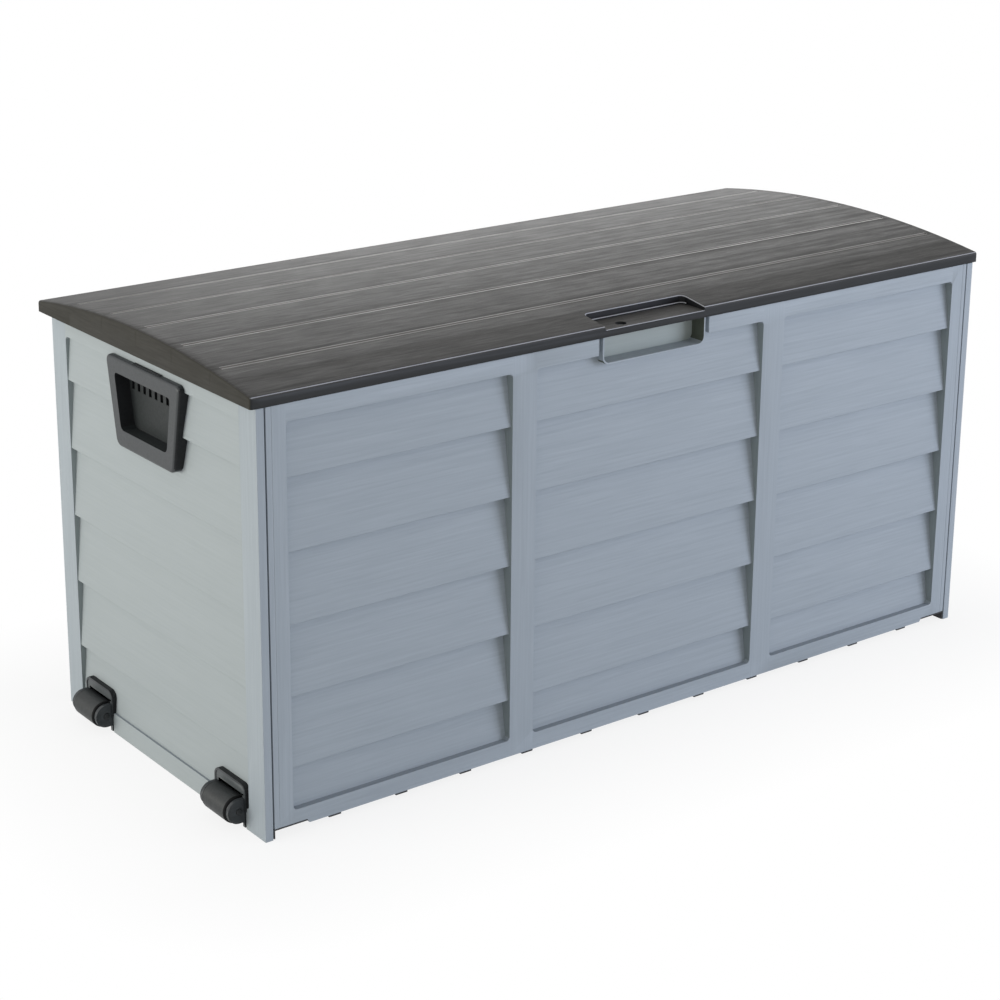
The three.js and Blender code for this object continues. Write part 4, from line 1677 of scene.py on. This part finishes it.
def headed_pin(reach: float, across: Span) -> bpy.types.Object:
    """A pin along X with a domed head at its low end and a chamfered tip.

    Args:
        reach: How far what it holds runs to each side of its middle.
        across: The y and z of its axis.

    Returns:
        The pin.
    """
    tip = reach + 1
    start = -reach - FIT
    crown = start - PIN_HEAD
    pin = rod("pin", Axis.X, PIN, (start, tip), across)
    head = rod("head", Axis.X, PIN + 1, (crown, start + 0.1), across)
    round_edges(pin, PIN_EDGE, 2, at(x=tip))
    round_edges(head, PIN_EDGE, 3, at(x=crown))
    return shade(add(pin, head))


@dataclass
class RollerUnit:
    """A roller in its moulded housing, on an axle through two lugs.

    Attributes:
        radius: The roller's radius.
        half: Half of its length.
        shoulder: Rounding of its ends.
        flank: Width of the ring outside the dish in each end.
        dish: Depth of the dish.
        dish_ring: Width of the dish round the hub.
        axis_z: Height of its axis.
        axis_out: How far the axis lies outside the wall's face.
        lug: Radius of a lug.
        lug_thick: Its thickness.
        plate_half: Half of the width of the housing's plate.
        plate_height: The plate's lowest and highest z.
        plate_corner: Rounding of its corners.
        face: The y of the raised border round the plate.
        border: Width of that border.
        sunk: How far the plate lies behind it.
        well_half: Half of the width of the well behind the plate.
        well_height: The well's lowest and highest z.
        well_back: The y of its back.
        room_top: Highest z of the room for the roller.
        edge: Rounding of the housing's edges.
        roller_edge: Rounding of the edges of the roller's dish and hole.
        lug_room: Gap round the axle in the lugs.
        roller_room: Gap round it in the roller.
    """

    radius: float = 16.5
    half: float = 25.0
    shoulder: float = 2.5
    flank: float = 1.5
    dish: float = 4.0
    dish_ring: float = 4.5
    axis_z: float = 23.5
    axis_out: float = 8.5
    lug: float = 14.5
    lug_thick: float = 5.0
    plate_half: float = 34.0
    plate_height: Span = (16.0, 54.0)
    plate_corner: float = 10.0
    face: float = -1.8
    border: float = 2.5
    sunk: float = 0.8
    well_half: float = 31.0
    well_height: Span = (1.5, 50.0)
    well_back: float = 21.7
    room_top: float = 42.0
    edge: float = 0.7
    roller_edge: float = 0.5
    lug_room: float = 0.3
    roller_room: float = 0.6

    @property
    def axis(self) -> Span:
        """The y and z of the roller's axis."""
        return (-self.axis_out, self.axis_z)

    def bore(self, room: float, sides: int) -> bpy.types.Object:
        """The hole for the axle, with the room given all round it."""
        return rod("bore", Axis.X, PIN + room, (-CLEAR, CLEAR), self.axis, sides)

    def housing(self, wall: EndWall) -> bpy.types.Object:
        """The plate, the well behind it and the two lugs.

        Args:
            wall: The wall that it lies in.

        Returns:
            The housing.
        """
        half, top, corner = self.plate_half, self.plate_height[1], self.plate_corner
        room = self.half + 1
        body = soft_block("housing", (-half, half), (self.face, 12), self.plate_height, Axis.Y, corner, 6)
        sill = block("sill", (-CLEAR, CLEAR), (-FIT, CLEAR), (-5, wall.sill))
        cut(body, wall.behind_lap(4), wall.behind_lap(5), sill)
        well_x = (-self.well_half, self.well_half)
        add(body, block("well", well_x, (self.face, self.well_back), self.well_height))
        inner = half - self.border
        depth = (-9, self.face + self.sunk)
        cut(body, soft_block("field", (-inner, inner), depth, (-9, top - self.border), Axis.Y,
                             corner - self.border, 6))
        cut(body, block("room", (-room, room), (-4, self.well_back - RIB), (-5, self.room_top)))
        for side in SIDES:
            ends = on_side(side, room, room + self.lug_thick)
            ear = rod("ear", Axis.X, self.lug, ends, self.axis, 40)
            height = (self.axis_z - self.lug, self.axis_z + self.lug)
            add(body, add(ear, block("foot", ends, (-self.axis_out, 4), height)))
        return soften(cut(body, self.bore(self.lug_room, 24)), self.edge)

    def roller(self) -> bpy.types.Object:
        """The roller: a barrel with rounded shoulders, dished round its hub.

        Returns:
            The roller.
        """
        roller = rod("roller", Axis.X, self.radius, (-self.half, self.half), self.axis, 64)
        round_edges(roller, self.shoulder, 4, lambda place, way: near(abs(place.x), self.half))
        with editing(roller):
            for side in SIDES:
                pick(roller, Pick.FACE, lambda place, normal: normal.x * side > 0.99)
                for ring, push in ((self.flank, -self.dish), (self.dish_ring, self.dish)):
                    bpy.ops.mesh.inset(thickness=ring * MM)
                    way = {"value": (side * push * MM, 0, 0)}
                    bpy.ops.mesh.extrude_region_move(TRANSFORM_OT_translate=way)
        return soften(cut(roller, self.bore(self.roller_room, 32)), self.roller_edge)

    def on_border_side(self, place: Vector, normal: Vector) -> bool:
        """Whether a face of the housing doesn't face outward."""
        return normal.y > -0.5 and place.y > self.face - 0.1

    def on_plate(self, place: Vector, normal: Vector) -> bool:
        """Whether a face of the housing is the plate inside the border."""
        return normal.y < -0.9 and near(place.y, self.face + self.sunk, 0.2)

    def on_end(self, place: Vector, normal: Vector) -> bool:
        """Whether a face of the roller is on one of its ends."""
        return abs(place.x) > self.half - self.shoulder - 0.1

    def build(self, place: str, wall: EndWall, x: float) -> None:
        """Makes, dresses and seats one unit.

        Args:
            place: What its nodes' names start with.
            wall: The wall that carries it.
            x: Where it lies along the wall.
        """
        housing = self.housing(wall)
        dress(housing, Finish.CHARCOAL)
        # Painted shade on the housing's faces that don't face outward.
        dress_where(housing, Finish.SHADED, self.on_border_side)
        # Painted light on the plate inside the border.
        dress_where(housing, Finish.PLATE, self.on_plate)
        roller = self.roller()
        dress(roller, Finish.ROLLER)
        # Painted shade on the ends of the roller.
        dress_where(roller, Finish.RUBBER, self.on_end)
        axle = headed_pin(self.half + 1 + self.lug_thick, self.axis)
        dress(axle, Finish.PIN)
        for piece, part, body, slot in (
            (housing, "_bracket", "box", "charcoal"),
            (roller, "", f"{place}_roller", "roller_charcoal"),
            (axle, "_axle", "box", "pin_dark"),
        ):
            node = f"{place}_roller{part}"
            piece.name = f"{node}_piece"
            seat(shift(piece, x), wall.spot, body, slot, node)


# ---------------------------------------------------------------- hinges


@dataclass
class HingeLine:
    """Four hinge stations on one axis behind the back wall.

    Attributes:
        leaf: Width of a leaf.
        lug_half: How far a leaf stands from the middle of its station.
        edge: Rounding of its edges.
        bore: Radius of a leaf's hole.
        gusset_back: How far a leaf's gusset reaches behind the axis.
        gusset: Its lowest and highest z, from the axis.
        gusset_rise: How far its foot rises towards its back.
        gusset_slope: How far its top slopes forward.
        reach: How far a pin's hold runs to each side of the middle.
    """

    leaf: float = 20.0
    lug_half: float = 13.0
    edge: float = 0.5
    bore: float = 4.3
    gusset_back: float = 6.8
    gusset: Span = (-26.0, 5.0)
    gusset_rise: float = 22.0
    gusset_slope: float = 8.0
    reach: float = 32.8

    def leaf_at(self, x: float, side: int) -> bpy.types.Object:
        """One leaf of a station, a gusset with a barrel.

        Args:
            x: Where the station's middle lies.
            side: -1 or 1.

        Returns:
            The leaf.
        """
        y, z = HINGE_AXIS
        back, low, high = y + self.gusset_back, z + self.gusset[0], z + self.gusset[1]
        ends = on_side(side, self.lug_half, self.lug_half + self.leaf, x)
        barrel = rod("leaf", Axis.X, KNUCKLE, ends, HINGE_AXIS)
        gusset = block("gusset", ends, (REAR - 1, back), (low, high))
        drag(gusset, at(y=back, z=low), z=self.gusset_rise)
        drag(gusset, at(y=back, z=high), y=-self.gusset_slope)
        add(barrel, gusset)
        cut(barrel, rod("bore", Axis.X, self.bore, (x - CLEAR, x + CLEAR), HINGE_AXIS))
        return soften(barrel, self.edge)

    def build(self) -> None:
        """Makes, dresses and seats the leaves and pins."""
        leaves = weld("hinge_leaves", [self.leaf_at(x, side) for x in HINGES for side in SIDES])
        dress(leaves, Finish.BOARD)
        seat(leaves, Spot(), "box", "wall_grey", "back_panel")
        for i, x in enumerate(HINGES, 1):
            pin = shift(headed_pin(self.reach, HINGE_AXIS), x)
            pin.name = f"hinge_pin_{i}_piece"
            dress(pin, Finish.PIN)
            seat(pin, Spot(), "box", "pin_dark", f"hinge_pin_{i}")


# ---------------------------------------------------------------- base


@dataclass
class CornerFlanges:
    """Thin black flanges of the base that fill the raised ends of the long walls' lower edges.

    They are black where those corners lie in shade, so they are partly painted shade. Each turns down at
    its outer end, against the corner post, as a black strip that is painted shade.

    Attributes:
        ends: How far each runs from the middle, from its inner end to its outer one.
        back: How far each stays behind the wall's outer face.
        reach: How far each runs inward from there.
        height: Its lowest and highest z.
        slope: Length of the slope at its inner end.
        turned: Thickness of the part that turns down.
        clearance: How far that part stops above the floor.
        edge: Rounding of the edges.
    """

    ends: Span = (491.0, 541.6)
    back: float = 0.6
    reach: float = 24.0
    height: Span = (10.6, 12.8)
    slope: float = 5.0
    turned: float = 1.5
    clearance: float = 0.6
    edge: float = 0.3

    def flange(self, side: int, face: float) -> bpy.types.Object:
        """One flange, with its inner end cut to the slope of the wall's edge.

        Args:
            side: -1 or 1.
            face: The y of the wall's outer face.

        Returns:
            The flange.
        """
        inner, outer = self.ends
        top = self.height[1]
        y = on_side(1 if face < 0 else -1, self.back, self.reach, face)
        foot_x = on_side(side, outer - self.turned, outer)
        flange = block("flange", on_side(side, inner, outer), y, self.height)
        drag(flange, at(x=side * inner, z=top), x=side * self.slope)
        # The turned-down foot is a black strip on the post's inner side, standing for shade.
        return add(flange, block("foot", foot_x, y, (self.clearance, top)))

    def build(self) -> None:
        """Makes, dresses and seats the four flanges."""
        flanges = [self.flange(side, face) for side in SIDES for face in (FRONT, REAR)]
        piece = soften(weld("corner_shade_flanges", flanges), self.edge)
        dress(piece, Finish.BLACK)
        seat(piece, Spot(), "box", "base_black")


# ---------------------------------------------------------------- studio


@dataclass(frozen=True)
class Lamp:
    """An oblong soft lamp that points at the box.

    Attributes:
        name: Its name.
        place: Where it hangs, in metres.
        size: Its width and height, in metres.
        power: Its power in watts.
        tint: Its colour, sRGB hex.
        aim: The point that it faces, in metres.
    """

    name: str
    place: tuple[float, float, float]
    size: Span
    power: float
    tint: str
    aim: tuple[float, float, float] = (0.0, 0.0, 0.25)

    def hang(self) -> None:
        """Adds the lamp to the scene."""
        data = bpy.data.lights.new(self.name, "AREA")
        data.shape = "RECTANGLE"
        data.size, data.size_y = self.size
        data.energy = self.power
        data.color = linear(self.tint)[:3]
        lamp = bpy.data.objects.new(self.name, data)
        bpy.context.scene.collection.objects.link(lamp)
        lamp.location = self.place
        way = Vector(self.aim) - Vector(self.place)
        lamp.rotation_euler = way.to_track_quat("-Z", "Y").to_euler()


@dataclass
class Studio:
    """The floor, the lamps and the camera.

    Attributes:
        stand: Where the camera stands, from the lid's middle on the floor.
        yaw: How far it is turned to the right, in radians.
        pitch: How far it looks down, in radians.
        roll: How far it is tilted, in radians.
        lens: Its focal length.
        shift_y: Its upward shift, as a share of the frame.
        level: Strength of the even light.
        shaded: The x and y, in metres, up to which the floor is shaded most.
        fade: How far out from there it turns white, in metres.
        glow: Share of plain white in the floor there.
    """

    stand: tuple[float, float, float] = (-1767.5, -2264.0, 1249.7)
    yaw: float = 0.6504
    pitch: float = 0.3022
    roll: float = 0.0084
    lens: float = 84.32
    shift_y: float = -0.1
    level: float = 0.5
    shaded: Span = (0.55, 0.24)
    fade: float = 0.25
    glow: float = 0.84

    def camera(self) -> None:
        """Sets up the camera."""
        data = bpy.data.cameras.new("camera")
        data.lens = self.lens
        data.sensor_width = 36
        data.shift_y = self.shift_y
        data.clip_end = 50
        camera = bpy.data.objects.new("camera", data)
        bpy.context.scene.collection.objects.link(camera)
        turn = Matrix.Rotation(-self.yaw, 4, "Z") @ Matrix.Rotation(math.pi / 2 - self.pitch, 4, "X")
        place = Matrix.Translation(Vector(self.stand) * MM + Vector((middle_x(), 0, 0)))
        camera.matrix_world = place @ turn @ Matrix.Rotation(self.roll, 4, "Z")
        bpy.context.scene.camera = camera

    def seen(self, tree: bpy.types.NodeTree) -> bpy.types.Node:
        """Adds nodes that give 1 to rays from the camera, off gloss or through glass, else 0.

        Args:
            tree: The node tree.

        Returns:
            The last of the nodes.
        """
        rays = add_node(tree, "ShaderNodeLightPath").outputs
        direct = add_node(tree, "ShaderNodeMath", {
            "operation": "MAXIMUM", 0: rays["Is Camera Ray"], 1: rays["Is Glossy Ray"],
        })
        return add_node(tree, "ShaderNodeMath", {
            "operation": "MAXIMUM", 0: direct, 1: rays["Is Transmission Ray"],
        })

    def world(self) -> None:
        """Lights the scene evenly and shows white behind it."""
        world = bpy.data.worlds.new("studio")
        bpy.context.scene.world = world
        tree = blank_tree(world)
        strength = add_node(tree, "ShaderNodeMapRange", {
            "Value": self.seen(tree), "To Min": self.level, "To Max": 1.0,
        })
        back = add_node(tree, "ShaderNodeBackground", {"Color": (1, 1, 1, 1), "Strength": strength})
        add_node(tree, "ShaderNodeOutputWorld", {"Surface": back})

    def floor(self) -> None:
        """A pale floor that turns white away from the box and keeps its shadow near it."""
        bpy.ops.object.select_all(action="DESELECT")
        bpy.ops.mesh.primitive_plane_add(size=30, location=(0, 0, -0.0002))
        floor = named("floor")
        material = bpy.data.materials.new("matt_white_floor")
        tree = blank_tree(material)
        place = add_node(tree, "ShaderNodeTexCoord").outputs["Object"]
        side = add_node(tree, "ShaderNodeVectorMath", {"operation": "ABSOLUTE", 0: place})
        past = add_node(tree, "ShaderNodeVectorMath", {
            "operation": "SUBTRACT", 0: side, 1: (*self.shaded, 0),
        })
        outside = add_node(tree, "ShaderNodeVectorMath", {
            "operation": "MAXIMUM", 0: past, 1: (0, 0, 0),
        })
        reach = add_node(tree, "ShaderNodeVectorMath", {"operation": "LENGTH", 0: outside})
        white = add_node(tree, "ShaderNodeMapRange", {
            "Value": reach.outputs["Value"], "From Min": 0.0, "From Max": self.fade,
            "To Min": self.glow, "To Max": 1.0,
        })
        share = add_node(tree, "ShaderNodeMath", {
            "operation": "MULTIPLY", 0: white, 1: self.seen(tree),
        })
        base = add_node(tree, "ShaderNodeBsdfDiffuse", {"Color": (0.9, 0.9, 0.9, 1)})
        glow = add_node(tree, "ShaderNodeEmission", {"Color": (1, 1, 1, 1), "Strength": 1.0})
        both = add_node(tree, "ShaderNodeMixShader", {"Fac": share, 1: base, 2: glow})
        add_node(tree, "ShaderNodeOutputMaterial", {"Surface": both})
        floor.data.materials.append(material)

    def build(self) -> None:
        """Sets up the whole studio."""
        bpy.context.scene.view_settings.view_transform = "Standard"
        self.camera()
        self.world()
        self.floor()
        Lamp("left", place=(-3.3, 0.9, 0.8), size=(2.0, 0.7), power=50, tint="#fffdf4").hang()
        Lamp("front", place=(2.6, -2.9, 1.0), size=(2.4, 2.0), power=68, tint="#e2eaff").hang()
        Lamp("behind", place=(2.6, 3.2, 1.15), size=(2.4, 1.0), power=19, tint="#ffffff").hang()


# ---------------------------------------------------------------- the whole box


def main() -> None:
    """Builds every piece in order."""
    logging.basicConfig(level=logging.INFO, format="%(name)s: %(message)s")
    Studio().build()
    LongWall("front_wall", "front_panel", Spot(y=FRONT), pocket=Pocket()).build()
    LongWall("back_wall", "back_panel", Spot(180, y=REAR)).build()
    middle = (FRONT + REAR) / 2
    left = EndWall("left_wall", "left_side_panel", Spot(-90, -END, middle), rollers=(160.5, -151.5))
    right = EndWall("right_wall", "right_side_panel", Spot(90, END, middle, mirrored=True))
    left.build()
    right.build()
    Handle().build("left", left)
    Handle().build("right", right)
    for place, x in zip(("front", "rear"), left.rollers):
        RollerUnit().build(place, left, x)
    HingeLine().build()
    CornerFlanges().build()
    Lid().build()
    dress(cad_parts["base_panel"], Finish.BLACK)
    log.info("base_panel stays the solid itself")


if __name__ == "__main__":
    main()
